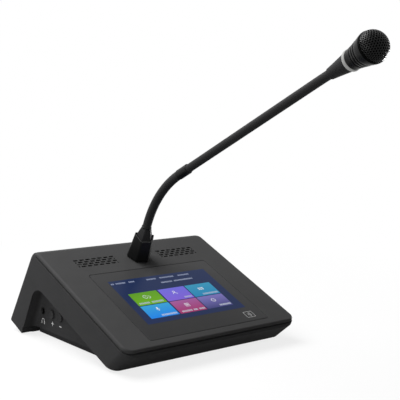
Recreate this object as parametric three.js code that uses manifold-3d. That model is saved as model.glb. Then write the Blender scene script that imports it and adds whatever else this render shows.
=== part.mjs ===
// Conference delegate unit: a tilted touch panel on a wedge housing, with a gooseneck microphone.
// Units are millimetres, +Z is up, +Y points to the back and the delegate sits on the -Y side.
// The deck group is the tilted panel: its X runs across, its Y up the slope and its Z out of the panel.
import * as THREE from 'three';
import { mergeVertices } from 'three/addons/utils/BufferGeometryUtils.js';
import Module from 'manifold-3d';

const wasm = await Module();
wasm.setup();

// General clearances and counts
const clearance = 0.3;
const overrun = 5;
const panelGap = 0.4;
const roundSides = 18;
const smallSides = 10;
const arcSteps = 4;
const quarterTurn = Math.PI / 2;
const halfTurn = Math.PI;
const fullTurn = 2 * Math.PI;

// Display and touch glass, which set the width and depth of the panel
const displayWidth = 116;
const displayDepth = 74;
const displayThickness = 4.4;
const displaySideMargin = 4.5;
const displayFrontMargin = 12;
const displayBackMargin = 5.6;
const glassLedge = 3;
const glassWidth = displayWidth + 2 * (displaySideMargin + glassLedge);
const glassDepth = displayDepth + displayFrontMargin + displayBackMargin + 2 * glassLedge;
const glassThickness = 1.8;
const glassCornerRadius = 2.5;
const sideBand = 29;
const frontBand = 8.4;
const rearBand = 44;

// Panel and housing
const panelWidth = glassWidth + 2 * sideBand;
const panelDepth = frontBand + glassDepth + rearBand;
const panelTilt = THREE.MathUtils.degToRad(22.4);
const coverThickness = 5;
const coverBevel = 1.8;
const frontCornerRadius = 9;
const backCornerRadius = 5;
const rearRound = 7.6;
const coverLevelShares = [0, 0.34, 0.64, 0.82, 0.94, 1];
const seam = 0.4;
const wall = 2.5;
const slabDepth = 26.9;
const frontFaceDepth = 7;
const frontUndercut = 10.7;
const rearSlope = 0.1425;
const legBackReach = 7;
const legLeanReach = 3.7;
const recessDepth = 12.1;
const recessCornerRadius = 14;
const footStand = 0.8;

// Display frame, main board and ribbon
const frameThickness = 1.2;
const frameMargin = 7;
const frameRimX = 10;
const frameRimY = 5;
const frameScrewInset = 3.5;
const frameScrewMargin = 1;
const mainBoardSideReach = 1;
const mainBoardEndReach = 3;
const boardThickness = 1.6;
const boardDrop = 5.8;
const boardHoleInset = 5;
const shieldWidth = 36;
const shieldDepth = 28;
const shieldHeight = 2.4;
const headerLength = 24;
const headerDepth = 5;
const headerHeight = 5.5;
const ribbonWidth = 24;
const ribbonThickness = 0.4;

// Screws, their bosses, and the staked posts that hold the boards and speakers
const screwHeadRadius = 2.6;
const screwHeadHeight = 1.6;
const screwShankRadius = 1.2;
const frameScrewLength = 4;
const baseScrewLength = 8;
const bossRadius = 3;
const bossHoleRadius = 1.5;
const stakeRadius = 2.5;
const stakeHeadRadius = 2.5;
const stakeHeadHeight = 1.2;

// Speakers and their grilles
const speakerCentreX = 45.6;
const speakerSetback = 19.4;
const slotColumns = 7;
const slotRows = 4;
const slotPitchX = 6.35;
const slotPitchY = 3.3;
const slotLength = 4.6;
const slotWidth = 1.2;
const clothThickness = 0.4;
const clothMargin = 1.5;
const speakerFlangeWidth = 20;
const speakerFlangeThickness = 1.4;
const speakerBasketLength = 44;
const speakerBasketDepth = 5;
const speakerMagnetRadius = 7.5;
const speakerMagnetDepth = 4;
const speakerPostMargin = 1.15;
const speakerPostInset = 3.5;

// Microphone foot
const bootSetback = 18.5;
const bootTurn = THREE.MathUtils.degToRad(43.4);
const bootBaseRadius = 11.75;
const bootBreakRadius = 10.4;
const bootBreakHeight = 15;
const bootTopRadius = 9.15;
const bootHeight = 23.7;
const collarBaseRadius = 8.1;
const collarTopRadius = 5.5;
const collarHeight = 7.9;
const hexSides = 6;
const socketRadius = 9.5;
const socketFlangeRadius = 11.5;
const socketFlangeThickness = 1.6;
const socketDepth = 15;

// Gooseneck
const sleeveRadius = 3.9;
const sleeveBend = THREE.MathUtils.degToRad(40.5);
const sleeveBendLength = 66.6;
const sleeveLinks = 6;
const sleeveFoot = 4;
const ferruleRadius = 4.35;
const ferruleLength = 14.2;
const tubeRadius = 3.55;
const tubeStub = 4;
const tubeLinkLength = 41;
const tubeLinks = 5;
const tubeTip = 9;
const tubeInsert = 5;
const ribPitch = 1.6;
const ribDepth = 0.3;
const ribStartShare = 0.25;
const ribEndShare = 0.75;
const ribSides = 8;
const boreRadius = 1.4;
const cableRadius = 0.65;
const cableSides = 8;
const cableSteps = 56;
const cableEase = 6;
const headPitch = THREE.MathUtils.degToRad(4.4);
const headYaw = THREE.MathUtils.degToRad(-7.7);

// Ball joints between two gooseneck links
const ballRadius = 2.6;
const ballNeckRadius = 1.9;
const cupRadius = 3;
const cupLip = 0.8;
const shoulderDrop = 2.3;
const ballSteps = 3;

// Microphone head, measured along its axis from the tail's small end
const tailRadius = 4.1;
const tailWideRadius = 7.45;
const tailLength = 21.4;
const ringRadius = 8.25;
const ringLength = 3.3;
const barrelStartRadius = 8;
const grooveRadii = [8.3, 8.8, 9.2];
const grooveReach = 6.5;
const groovePitch = 2.75;
const grooveWidth = 0.9;
const grooveDepth = 0.6;
const barrelLength = 19.3;
const headRadius = 12;
const headWall = 1.2;
const rimLength = 1.3;
const domeRadius = 11.7;
const domeHeight = 11;
const domeWall = 0.7;
const domeSteps = 6;
const foamWall = 2.5;
const capsuleRadius = 5;
const capsuleLength = 6.5;
const ledBoardRadius = 5.6;
const ledBoardHoleRadius = 1.6;

// Volume buttons, headphone jack and their board in the left recess
const controlHeight = 23.3;
const jackToLeg = 6.45;
const jackToButton = 15.7;
const buttonPitch = 13.8;
const buttonRadius = 4;
const buttonProud = 2;
const buttonFlange = 1;
const buttonFlangeRadius = 4.8;
const buttonStem = 1.5;
const buttonTravel = 0.8;
const switchSize = 6;
const switchBody = 3.3;
const switchPlunger = 2.5;
const switchPlungerRadius = 1.7;
const jackRadius = 3;
const jackBoreRadius = 1.8;
const jackBodyWidth = 8;
const sidePostReach = 8;
const sideBoardMargin = 4;
const sideBoardHeight = 16;

// Network sockets and their board at the rear
const socketWidth = 16;
const socketHeight = 13.5;
const socketLength = 21;
const socketWall = 1.4;
const socketMouthDepth = 15;
const latchWidth = 6.5;
const latchHeight = 2.6;
const socketSpacing = 24;
const socketInset = 3.6;
const networkBoardWidth = 64;
const networkBoardDepth = 46;
const networkBoardHeight = 15;

// Base plate, feet and base screws
const basePlateHeight = 5.6;
const basePlateFloor = 2.9;
const basePlateInset = 4.3;
const basePlateFrontMargin = 15.2;
const basePlateBackMargin = 1.9;
const basePlateRadius = 3;
const footRadius = 5.5;
const footThickness = 1.6;
const footInset = 14;
const baseBossHeight = 7;
const baseBossRadius = 3.8;
const baseScrewInset = 6;

// Materials
const finish = (color, roughness, metalness = 0) =>
  new THREE.MeshStandardMaterial({ color, roughness, metalness });
const panelPlastic = finish(0x4a4a4c, 0.5);
const housingPlastic = finish(0x3a3a3c, 0.55);
const basePlastic = finish(0x1c1c1d, 0.6);
const blackPlastic = finish(0x131415, 0.42);
const sleeveRubber = finish(0x1b1b1c, 0.75);
const gooseneckMetal = finish(0x2c2c2e, 0.5, 0.3);
const headMetal = finish(0x29292b, 0.5, 0.3);
const meshMetal = finish(0x1a1b1c, 0.45, 0.6);
const lightPlastic = finish(0xa0a09e, 0.4);
const glass = finish(0x0b0d14, 0.08);
const displayMetal = finish(0x23304a, 0.3);
const steel = finish(0x9b9d9f, 0.35, 0.9);
const circuitBoard = finish(0x1d5a38, 0.5);
const cloth = finish(0x161616, 0.95);
const foam = finish(0x202020, 1);
const footRubber = finish(0x151515, 0.9);
const copperRibbon = finish(0xb98b3c, 0.5);

// Solids
function toSolid(geometry) {
  const bare = geometry.clone();
  bare.deleteAttribute('normal');
  bare.deleteAttribute('uv');
  const welded = mergeVertices(bare);
  return new wasm.Manifold(new wasm.Mesh({
    numProp: 3,
    vertProperties: new Float32Array(welded.attributes.position.array),
    triVerts: new Uint32Array(welded.index.array),
  }));
}

function combine(operation, first, others) {
  const solid = others.reduce((result, other) => result[operation](toSolid(other)), toSolid(first));
  const mesh = solid.getMesh();
  const geometry = new THREE.BufferGeometry();
  geometry.setAttribute('position', new THREE.BufferAttribute(mesh.vertProperties, 3));
  geometry.setIndex(new THREE.BufferAttribute(mesh.triVerts, 1));
  return geometry;
}
const join = (first, ...others) => combine('add', first, others);
const cut = (first, ...others) => combine('subtract', first, others);
const common = (first, ...others) => combine('intersect', first, others);

function block(minX, maxX, minY, maxY, minZ, maxZ) {
  return new THREE.BoxGeometry(maxX - minX, maxY - minY, maxZ - minZ)
    .translate((minX + maxX) / 2, (minY + maxY) / 2, (minZ + maxZ) / 2);
}

// A cylinder along Z
function rod(radius, minZ, maxZ, x = 0, y = 0, sides = smallSides) {
  return new THREE.CylinderGeometry(radius, radius, maxZ - minZ, sides)
    .rotateX(quarterTurn).translate(x, y, (minZ + maxZ) / 2);
}

// A cylinder along X
function crossRod(radius, minX, maxX, y, z, sides = smallSides) {
  return new THREE.CylinderGeometry(radius, radius, maxX - minX, sides)
    .rotateZ(quarterTurn).translate((minX + maxX) / 2, y, z);
}

// A solid of revolution about Z, from an outline of [radius, height] pairs
function revolve(outline, sides = roundSides) {
  const doubleArea = outline.reduce((sum, [radius, height], index) => {
    const [nextRadius, nextHeight] = outline[(index + 1) % outline.length];
    return sum + radius * nextHeight - nextRadius * height;
  }, 0);
  const ordered = doubleArea > 0 ? outline : [...outline].reverse();
  const onAxis = ordered[0][0] === 0;
  const profile = onAxis ? ordered : [...ordered, ordered[0]];
  return new THREE.LatheGeometry(profile.map(([radius, height]) => new THREE.Vector2(radius, height)), sides)
    .rotateX(quarterTurn);
}

// A closed solid through rings of equal counts, from the lowest to the highest
function loft(rings) {
  const count = rings[0].length;
  const index = [];
  for (let level = 0; level + 1 < rings.length; level += 1) {
    for (let corner = 0; corner < count; corner += 1) {
      const next = (corner + 1) % count;
      const low = level * count;
      const high = low + count;
      index.push(low + corner, low + next, high + next, low + corner, high + next, high + corner);
    }
  }
  const top = (rings.length - 1) * count;
  const outline = rings[0].map(([x, y]) => new THREE.Vector2(x, y));
  for (const [a, b, c] of THREE.ShapeUtils.triangulateShape(outline, [])) {
    index.push(c, b, a, top + a, top + b, top + c);
  }
  const geometry = new THREE.BufferGeometry();
  geometry.setAttribute('position', new THREE.Float32BufferAttribute(rings.flat(2), 3));
  geometry.setIndex(index);
  return geometry;
}

const ringAt = (outline, z) => outline.map(([x, y]) => [x, y, z]);
const prism = (outline, minZ, maxZ) => loft([ringAt(outline, minZ), ringAt(outline, maxZ)]);

// A prism along X whose outline holds [y, z] pairs, counter-clockwise seen from +X
function sideProfile(outline, minX, maxX) {
  const alongX = new THREE.Matrix4().makeBasis(
    new THREE.Vector3(0, 1, 0),
    new THREE.Vector3(0, 0, 1),
    new THREE.Vector3(1, 0, 0),
  );
  return prism(outline, minX, maxX).applyMatrix4(alongX);
}

// Points of an arc about a centre
function arc(centreX, centreY, radius, startAngle, endAngle, steps = arcSteps) {
  return Array.from({ length: steps + 1 }, (_, step) => {
    const angle = startAngle + (endAngle - startAngle) * step / steps;
    return [centreX + radius * Math.cos(angle), centreY + radius * Math.sin(angle)];
  });
}

// A rectangle with rounded corners, counter-clockwise
function roundedRectangle(minX, maxX, minY, maxY, frontRadius, backRadius = frontRadius) {
  return [
    ...arc(minX + frontRadius, minY + frontRadius, frontRadius, halfTurn, halfTurn + quarterTurn),
    ...arc(maxX - frontRadius, minY + frontRadius, frontRadius, -quarterTurn, 0),
    ...arc(maxX - backRadius, maxY - backRadius, backRadius, 0, quarterTurn),
    ...arc(minX + backRadius, maxY - backRadius, backRadius, quarterTurn, halfTurn),
  ];
}

function polygon(sides, radius, turn = 0) {
  return Array.from({ length: sides }, (_, side) => {
    const angle = turn + fullTurn * side / sides;
    return [radius * Math.cos(angle), radius * Math.sin(angle)];
  });
}

const bothSides = [-1, 1];
const sideNames = { '-1': 'left', 1: 'right' };
const fourCorners = (x, nearY, farY) => bothSides.flatMap((side) => [[side * x, nearY], [side * x, farY]]);

// A pan-head screw along Z: its head hangs below zero and its shank stands above
function screw(length) {
  return revolve([
    [0, -screwHeadHeight],
    [screwHeadRadius, -screwHeadHeight],
    [screwHeadRadius, 0],
    [screwShankRadius, 0],
    [screwShankRadius, length],
    [0, length],
  ], smallSides);
}

// A post along Z from zero, whose pin passes through a sheet and ends in a flattened head
function stake(length, sheetThickness) {
  const headBottom = length + sheetThickness + 2 * clearance;
  return revolve([
    [0, 0],
    [stakeRadius, 0],
    [stakeRadius, length],
    [screwShankRadius, length],
    [screwShankRadius, headBottom],
    [stakeHeadRadius, headBottom],
    [stakeHeadRadius, headBottom + stakeHeadHeight],
    [0, headBottom + stakeHeadHeight],
  ], smallSides);
}
const stakeDown = (x, y, rootZ, seatZ, sheetThickness) => stake(rootZ - seatZ - clearance, sheetThickness)
  .rotateX(halfTurn).translate(x, y, rootZ);

// Places of the glass, the display and what stands behind the glass, up the panel
const glassFront = -panelDepth / 2 + frontBand;
const glassBack = glassFront + glassDepth;
const glassCentre = (glassFront + glassBack) / 2;
const displayCentre = glassFront + glassLedge + displayFrontMargin + displayDepth / 2;
const mainBoardWidth = displayWidth + 2 * mainBoardSideReach;
const mainBoardDepth = displayDepth + 2 * mainBoardEndReach;
const frameScrewReach = displayDepth / 2 + frameScrewMargin;
const speakerCentreY = glassBack + speakerSetback;
const bootCentreY = glassBack + bootSetback;
const legInnerReach = panelDepth / 2 - legBackReach;

// The whole unit, and the tilted panel inside it
const tiltSine = Math.sin(panelTilt);
const tiltCosine = Math.cos(panelTilt);
const deckRise = (panelDepth / 2 - frontUndercut) * tiltSine + slabDepth * tiltCosine;
const deckHeight = deckRise + footStand;
const unit = new THREE.Group();
const deck = new THREE.Group();
deck.rotation.x = panelTilt;
deck.position.z = deckHeight;
unit.add(deck);

function addMesh(parent, name, geometry, material) {
  const mesh = new THREE.Mesh(geometry, material);
  mesh.name = name;
  parent.add(mesh);
}

// Level shapes turned into the deck's frame, for features that follow the table
const toDeck = new THREE.Matrix4().makeRotationX(-panelTilt)
  .multiply(new THREE.Matrix4().makeTranslation(0, 0, -deckHeight));
const levelled = (geometry) => geometry.applyMatrix4(toDeck);

// Places shared by the housing, the cover and what they carry
const halfWidth = panelWidth / 2;
const bodyHalfWidth = halfWidth - recessDepth;
const cavityHalfWidth = bodyHalfWidth - wall;
const legDrop = (deckRise + legInnerReach * tiltSine) / tiltCosine;
const legLeanShare = legLeanReach / (legDrop - slabDepth);
const housingTop = -coverThickness - seam;
const slabFloor = -slabDepth + wall;
const plateHalfWidth = bodyHalfWidth - basePlateInset;
const basePlateFront = (frontUndercut - panelDepth / 2) * tiltCosine + slabDepth * tiltSine
  + basePlateFrontMargin;
const basePlateBack = legInnerReach * tiltCosine + legDrop * tiltSine - basePlateBackMargin;
const plateHigh = footStand + basePlateHeight;
const bandTop = plateHigh + clearance;
const baseScrewPlaces = fourCorners(
  plateHalfWidth - baseScrewInset,
  basePlateFront + baseScrewInset,
  basePlateBack - baseScrewInset,
);

// Level distances to sloping faces of the housing, at a height above the table. In the deck's frame, each
// face is a line that lies at a reach when z is zero and moves back by a slope's share of each step down.
const faceAt = (height, reach, slope) => {
  const drop = (deckHeight + reach * tiltSine - height) / (tiltCosine - slope * tiltSine);
  return (reach + drop * slope) * tiltCosine + drop * tiltSine;
};
const legFaceAt = (height) => faceAt(height, legInnerReach - legDrop * legLeanShare, legLeanShare);
const rearFaceAt = (height) => faceAt(height, panelDepth / 2 + rearRound + housingTop * rearSlope, rearSlope);
const jackY = legFaceAt(controlHeight) - jackToLeg;
const upButtonY = jackY - jackToButton;
const downButtonY = upButtonY - buttonPitch;
const flangeX = -cavityHalfWidth + clearance;
const stemX = flangeX + buttonFlange + buttonStem;
const plungerX = stemX + buttonTravel + clearance;
const switchX = plungerX + switchPlunger;
const sideBoardX = switchX + switchBody + clearance;
const sideBoardPosts = [downButtonY - sidePostReach, jackY + sidePostReach];
const portBottom = networkBoardHeight + boardThickness + clearance;
const socketFace = rearFaceAt(portBottom + socketHeight) - socketInset;

// Lower housing: slab, body and leg in one moulding
const frontAt = (z) => -panelDepth / 2
  + frontUndercut * Math.max(0, -z - frontFaceDepth) / (slabDepth - frontFaceDepth);
const backAt = (z) => panelDepth / 2 + rearRound + (housingTop - z) * rearSlope;

function housingShape(levels, inset) {
  return loft(levels.map((z) => ringAt(roundedRectangle(
    -halfWidth + inset, halfWidth - inset, frontAt(z) + inset, backAt(z) - inset,
    frontCornerRadius - inset, backCornerRadius - inset / 2,
  ), z)));
}

function sideRecess(side) {
  const lean = Math.atan(legLeanShare);
  const innerFaceAt = (z) => legInnerReach - (z + legDrop) * legLeanShare;
  const cornerY = innerFaceAt(-slabDepth) - recessCornerRadius * Math.tan((quarterTurn - lean) / 2);
  const floor = -legDrop - overrun;
  const outline = [
    [-panelDepth, floor],
    [innerFaceAt(floor), floor],
    ...arc(cornerY, -slabDepth - recessCornerRadius, recessCornerRadius, lean, quarterTurn),
    [-panelDepth, -slabDepth],
  ];
  const near = side * bodyHalfWidth;
  const far = side * panelWidth;
  return sideProfile(outline, Math.min(near, far), Math.max(near, far));
}

function housingHollows() {
  const slabHollow = housingShape([slabFloor, -frontFaceDepth, housingTop + overrun], wall);
  const deepHollow = housingShape([-legDrop + wall, -slabDepth, slabFloor + overrun], wall);
  const bodyHollow = common(
    deepHollow,
    block(-cavityHalfWidth, cavityHalfWidth, -panelDepth, panelDepth, -panelDepth, overrun),
    levelled(block(-halfWidth, halfWidth, basePlateFront, panelDepth, 0, panelDepth)),
  );
  const legHollow = common(
    deepHollow,
    block(-halfWidth, halfWidth, legInnerReach + wall, panelDepth, -panelDepth, overrun),
  );
  const basePocket = levelled(block(
    -halfWidth, halfWidth, basePlateFront - panelGap, basePlateBack + panelGap, -overrun, bandTop));
  const underTable = levelled(block(
    -panelWidth, panelWidth, -panelWidth, panelWidth, -panelWidth, footStand));
  return [slabHollow, bodyHollow, legHollow, basePocket, underTable];
}

function portSurround(outer) {
  const reach = (socketSpacing + socketWidth) / 2 + wall;
  return common(
    levelled(block(
      -reach, reach, socketFace - wall, panelDepth, portBottom - wall, portBottom + socketHeight + wall,
    )),
    outer,
  );
}

function lowerHousing() {
  const outer = housingShape([-legDrop, -slabDepth, -frontFaceDepth, housingTop], 0);
  const shell = cut(outer, ...housingHollows(), ...bothSides.map(sideRecess));
  const postRoot = -cavityHalfWidth - wall / 2;
  const bossTop = bandTop + baseBossHeight;
  const posts = [
    ...baseScrewPlaces.map(([x, y]) => rod(baseBossRadius, bandTop, bossTop, x, y)),
    ...baseScrewPlaces.map(([x, y]) => block(
      Math.min(x, Math.sign(x) * cavityHalfWidth), Math.max(x, Math.sign(x) * cavityHalfWidth),
      y - wall / 2, y + wall / 2, bandTop, bossTop,
    ).translate(Math.sign(x) * wall / 2, 0, 0)),
    ...sideBoardPosts.map((y) => stake(sideBoardX - clearance - postRoot, boardThickness)
      .rotateY(quarterTurn).translate(postRoot, y, controlHeight)),
  ];
  const sideHole = (radius, y) => crossRod(
    radius + clearance, -halfWidth, -cavityHalfWidth + clearance, y, controlHeight);
  const holes = [
    ...baseScrewPlaces.map(([x, y]) => rod(bossHoleRadius, bandTop - overrun, bossTop - wall / 2, x, y)),
    ...bothSides.map((side) => block(
      -socketWidth / 2 - clearance, socketWidth / 2 + clearance,
      0, panelDepth, portBottom - clearance, portBottom + socketHeight + clearance,
    ).translate(side * socketSpacing / 2, 0, 0)),
    sideHole(jackRadius, jackY),
    sideHole(buttonRadius, upButtonY),
    sideHole(buttonRadius, downButtonY),
  ];
  return cut(join(shell, portSurround(outer), ...posts.map(levelled)), ...holes.map(levelled));
}
addMesh(deck, 'lower_housing', lowerHousing(), housingPlastic);

// Places of what hangs below the cover
const displayTop = -glassThickness - clearance;
const displayBottom = displayTop - displayThickness;
const frameSeat = displayBottom - clearance;
const frameBottom = frameSeat - frameThickness;
const frameHalfWidth = glassWidth / 2 + frameMargin;
const frameScrewPlaces = fourCorners(
  frameHalfWidth - frameScrewInset, glassCentre - frameScrewReach, glassCentre + frameScrewReach);
const clothTop = -coverThickness - clearance;
const speakerTop = clothTop - clothThickness - clearance;
const slotFieldX = (slotColumns - 1) * slotPitchX / 2 + slotLength / 2;
const slotFieldY = (slotRows - 1) * slotPitchY / 2 + slotWidth / 2;
const clothX = slotFieldX + clothMargin;
const clothY = slotFieldY + clothMargin;
const speakerPostReach = clothX + stakeRadius + speakerPostMargin;
const speakerFlangeReach = speakerPostReach + speakerPostInset;
const speakerPosts = bothSides.flatMap((side) => bothSides.map(
  (end) => side * speakerCentreX + end * speakerPostReach));

// Rows of slots, every other row shifted by half a pitch with half slots at its ends
function grilleSlots(centreX) {
  const slots = [];
  const tip = slotWidth / 2;
  for (let row = 0; row < slotRows; row += 1) {
    const columns = slotColumns + row % 2;
    const y = speakerCentreY + ((slotRows - 1) / 2 - row) * slotPitchY;
    for (let column = 0; column < columns; column += 1) {
      const centre = (column - (columns - 1) / 2) * slotPitchX;
      const from = centreX + Math.max(centre - slotLength / 2, -slotFieldX);
      const to = centreX + Math.min(centre + slotLength / 2, slotFieldX);
      slots.push(prism([
        [from, y], [from + tip, y - tip], [to - tip, y - tip],
        [to, y], [to - tip, y + tip], [from + tip, y + tip],
      ], -coverThickness - overrun, overrun));
    }
  }
  return slots;
}

function coverPlate() {
  return loft(coverLevelShares.map((levelShare) => {
    const z = -coverThickness * (1 - levelShare);
    const inset = Math.max(0, coverBevel + z);
    const back = panelDepth / 2 + rearRound * Math.sqrt(1 - levelShare ** 2);
    return ringAt(roundedRectangle(
      -halfWidth + inset, halfWidth - inset, -panelDepth / 2 + inset, back,
      frontCornerRadius - inset, backCornerRadius,
    ), z);
  }));
}

function topCover() {
  const root = -coverThickness / 2;
  const posts = [
    ...frameScrewPlaces.map(([x, y]) => rod(bossRadius, frameSeat + clearance, root, x, y)),
    ...speakerPosts.map((x) => stakeDown(x, speakerCentreY, root, speakerTop, speakerFlangeThickness)),
  ];
  const openings = [
    prism(roundedRectangle(
      -glassWidth / 2 - panelGap, glassWidth / 2 + panelGap, glassFront - panelGap, glassBack + panelGap,
      glassCornerRadius + panelGap,
    ), displayTop, overrun),
    block(
      -glassWidth / 2 + glassLedge, glassWidth / 2 - glassLedge,
      glassFront + glassLedge, glassBack - glassLedge, -coverThickness - overrun, overrun,
    ),
    rod(sleeveRadius + clearance, -coverThickness - overrun, overrun, 0, bootCentreY),
    ...frameScrewPlaces.map(([x, y]) => rod(bossHoleRadius, -coverThickness - overrun, root, x, y)),
    ...bothSides.flatMap((side) => grilleSlots(side * speakerCentreX)),
  ];
  return cut(join(coverPlate(), ...posts), ...openings);
}
addMesh(deck, 'top_cover', topCover(), panelPlastic);

// Glass, display and its sheet-metal frame, which the cover's bosses hold
addMesh(deck, 'touch_glass', prism(roundedRectangle(
  -glassWidth / 2, glassWidth / 2, glassFront, glassBack, glassCornerRadius), -glassThickness, 0), glass);
addMesh(deck, 'display_module', block(
  -displayWidth / 2, displayWidth / 2, displayCentre - displayDepth / 2, displayCentre + displayDepth / 2,
  displayBottom, displayTop,
), displayMetal);

const boardTop = frameBottom - boardDrop;
const boardBottom = boardTop - boardThickness;
const boardPosts = fourCorners(
  mainBoardWidth / 2 - boardHoleInset,
  glassCentre - mainBoardDepth / 2 + boardHoleInset,
  glassCentre + mainBoardDepth / 2 - boardHoleInset,
);

function displayFrame() {
  const root = frameSeat - frameThickness / 2;
  const frameReach = frameScrewReach + frameScrewInset;
  const windowX = displayWidth / 2 - frameRimX;
  const windowY = displayDepth / 2 - frameRimY;
  return cut(
    join(
      block(
        -frameHalfWidth, frameHalfWidth,
        glassCentre - frameReach, glassCentre + frameReach, frameBottom, frameSeat,
      ),
      ...boardPosts.map(([x, y]) => stakeDown(x, y, root, boardTop, boardThickness)),
    ),
    block(
      -windowX, windowX,
      displayCentre - windowY, displayCentre + windowY, frameBottom - overrun, frameSeat + overrun,
    ),
    ...frameScrewPlaces.map(([x, y]) => rod(
      bossHoleRadius, frameBottom - overrun, frameSeat + overrun, x, y)),
  );
}
addMesh(deck, 'display_frame', displayFrame(), steel);
frameScrewPlaces.forEach(([x, y], index) => addMesh(deck, `display_screw_${index + 1}`,
  screw(frameScrewLength).translate(x, y, frameBottom - clearance), steel));

function mainBoard() {
  const solder = boardBottom + boardThickness / 2;
  return cut(
    join(
      block(
        -mainBoardWidth / 2, mainBoardWidth / 2,
        glassCentre - mainBoardDepth / 2, glassCentre + mainBoardDepth / 2, boardBottom, boardTop,
      ),
      block(
        -shieldWidth, 0, glassCentre - shieldDepth / 2, glassCentre + shieldDepth / 2,
        boardBottom - shieldHeight, solder,
      ),
      block(
        shieldWidth / 2, shieldWidth / 2 + headerLength, glassCentre, glassCentre + headerDepth,
        boardBottom - headerHeight, solder,
      ),
    ),
    ...boardPosts.map(([x, y]) => rod(bossHoleRadius, boardBottom - overrun, boardTop + overrun, x, y)),
  );
}
addMesh(deck, 'main_board', mainBoard(), circuitBoard);

// Flat cable from the back of the display, round to the board
function displayRibbon() {
  const half = ribbonThickness / 2;
  const high = displayBottom - clearance - half;
  const low = boardTop + clearance + half;
  const bend = (high - low) / 2;
  const surface = (offset) => [
    [displayCentre + 2 * bend, high + offset],
    ...arc(displayCentre, high - bend, bend + offset, quarterTurn, halfTurn + quarterTurn, 2 * arcSteps),
    [displayCentre + 2 * bend, low - offset],
  ];
  return sideProfile([...surface(half), ...surface(-half).reverse()], -ribbonWidth / 2, ribbonWidth / 2);
}
addMesh(deck, 'display_ribbon', displayRibbon(), copperRibbon);

// Speakers and the cloths behind the slotted grilles
function speaker() {
  const flangeBottom = speakerTop - speakerFlangeThickness;
  const basketBottom = flangeBottom - speakerBasketDepth;
  const halfDepth = speakerFlangeWidth / 2;
  const basket = loft([
    ringAt(roundedRectangle(
      -speakerMagnetRadius - halfDepth, speakerMagnetRadius + halfDepth,
      -speakerMagnetRadius, speakerMagnetRadius, speakerMagnetRadius / 2,
    ), basketBottom),
    ringAt(roundedRectangle(
      -speakerBasketLength / 2, speakerBasketLength / 2, -halfDepth, halfDepth, halfDepth / 2,
    ), flangeBottom + speakerFlangeThickness / 2),
  ]);
  const cone = loft([
    ringAt(roundedRectangle(
      -speakerMagnetRadius, speakerMagnetRadius, -speakerMagnetRadius / 2, speakerMagnetRadius / 2,
      speakerMagnetRadius / 3,
    ), basketBottom + speakerFlangeThickness),
    ringAt(roundedRectangle(
      -speakerBasketLength / 2 + wall, speakerBasketLength / 2 - wall, -halfDepth + wall, halfDepth - wall,
      speakerMagnetRadius / 2,
    ), speakerTop + clearance),
  ]);
  const flange = block(
    -speakerFlangeReach, speakerFlangeReach, -halfDepth, halfDepth, flangeBottom, speakerTop);
  const magnet = rod(
    speakerMagnetRadius, basketBottom - speakerMagnetDepth, basketBottom + speakerFlangeThickness / 2);
  const holes = bothSides.map((end) => rod(
    bossHoleRadius, flangeBottom - overrun, speakerTop + overrun, end * speakerPostReach, 0,
  ));
  return cut(join(flange, basket, magnet), cone, ...holes);
}

for (const side of bothSides) {
  addMesh(deck, `grille_cloth_${sideNames[side]}`, block(
    -clothX, clothX, -clothY, clothY, clothTop - clothThickness, clothTop,
  ).translate(side * speakerCentreX, speakerCentreY, 0), cloth);
  addMesh(deck, `speaker_${sideNames[side]}`, speaker()
    .translate(side * speakerCentreX, speakerCentreY, 0), blackPlastic);
}

// Microphone foot: a hexagonal boot and collar above the cover and the socket below it
const collarFloor = clearance + bootHeight + clearance;
const collarTop = collarFloor + collarHeight;

function hexagonalSleeve(radii, heights) {
  return cut(
    loft(radii.map((radius, level) => ringAt(polygon(hexSides, radius, bootTurn), heights[level]))),
    rod(sleeveRadius + clearance, -overrun, collarTop + overrun),
  ).translate(0, bootCentreY, 0);
}
addMesh(deck, 'microphone_boot', hexagonalSleeve(
  [bootBaseRadius, bootBreakRadius, bootTopRadius],
  [clearance, bootBreakHeight, clearance + bootHeight],
), blackPlastic);
addMesh(deck, 'microphone_collar', hexagonalSleeve(
  [collarBaseRadius, collarTopRadius],
  [collarFloor, collarTop],
), blackPlastic);

const socketTop = -coverThickness - clearance;
const socketBottom = socketTop - socketDepth;
const neckFootBottom = socketBottom + wall + clearance;
addMesh(deck, 'microphone_socket', revolve([
  [sleeveRadius + clearance, socketTop],
  [socketFlangeRadius, socketTop],
  [socketFlangeRadius, socketTop - socketFlangeThickness],
  [socketRadius, socketTop - socketFlangeThickness],
  [socketRadius, socketBottom],
  [boreRadius, socketBottom],
  [boreRadius, socketBottom + wall],
  [sleeveRadius + clearance, socketBottom + wall],
]).translate(0, bootCentreY, 0), blackPlastic);

// Gooseneck links: each ends in a ball that the next link's cup holds, and one bore runs through all
function ballEnd(length, radius) {
  const startAngle = -Math.acos(ballNeckRadius / ballRadius);
  const endAngle = Math.acos(boreRadius / ballRadius);
  return [
    [radius, length - shoulderDrop],
    [ballNeckRadius, length - shoulderDrop],
    ...arc(0, length, ballRadius, startAngle, endAngle, ballSteps),
  ];
}

function cupEnd(radius) {
  const lipAngle = -Math.asin(cupLip / cupRadius);
  const topAngle = Math.acos(boreRadius / cupRadius);
  return [...arc(0, 0, cupRadius, topAngle, lipAngle, ballSteps), [radius, -cupLip]];
}

function ribs(fromZ, toZ) {
  const count = Math.floor((toZ - fromZ) / ribPitch);
  const pitch = (toZ - fromZ) / count;
  return Array.from({ length: count }, (_, index) => [
    [tubeRadius, fromZ + (index + ribStartShare) * pitch],
    [tubeRadius - ribDepth, fromZ + (index + ribEndShare) * pitch],
  ]).flat();
}

// Each link is a group at its pivot, nested in the link before it
let carrier = deck;
const pivots = [];
function nextPivot(height, pitch, yaw = 0, y = 0) {
  const link = new THREE.Group();
  link.position.set(0, y, height);
  link.rotation.set(pitch, yaw, 0);
  carrier.add(link);
  carrier = link;
  pivots.push(link);
}

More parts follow.
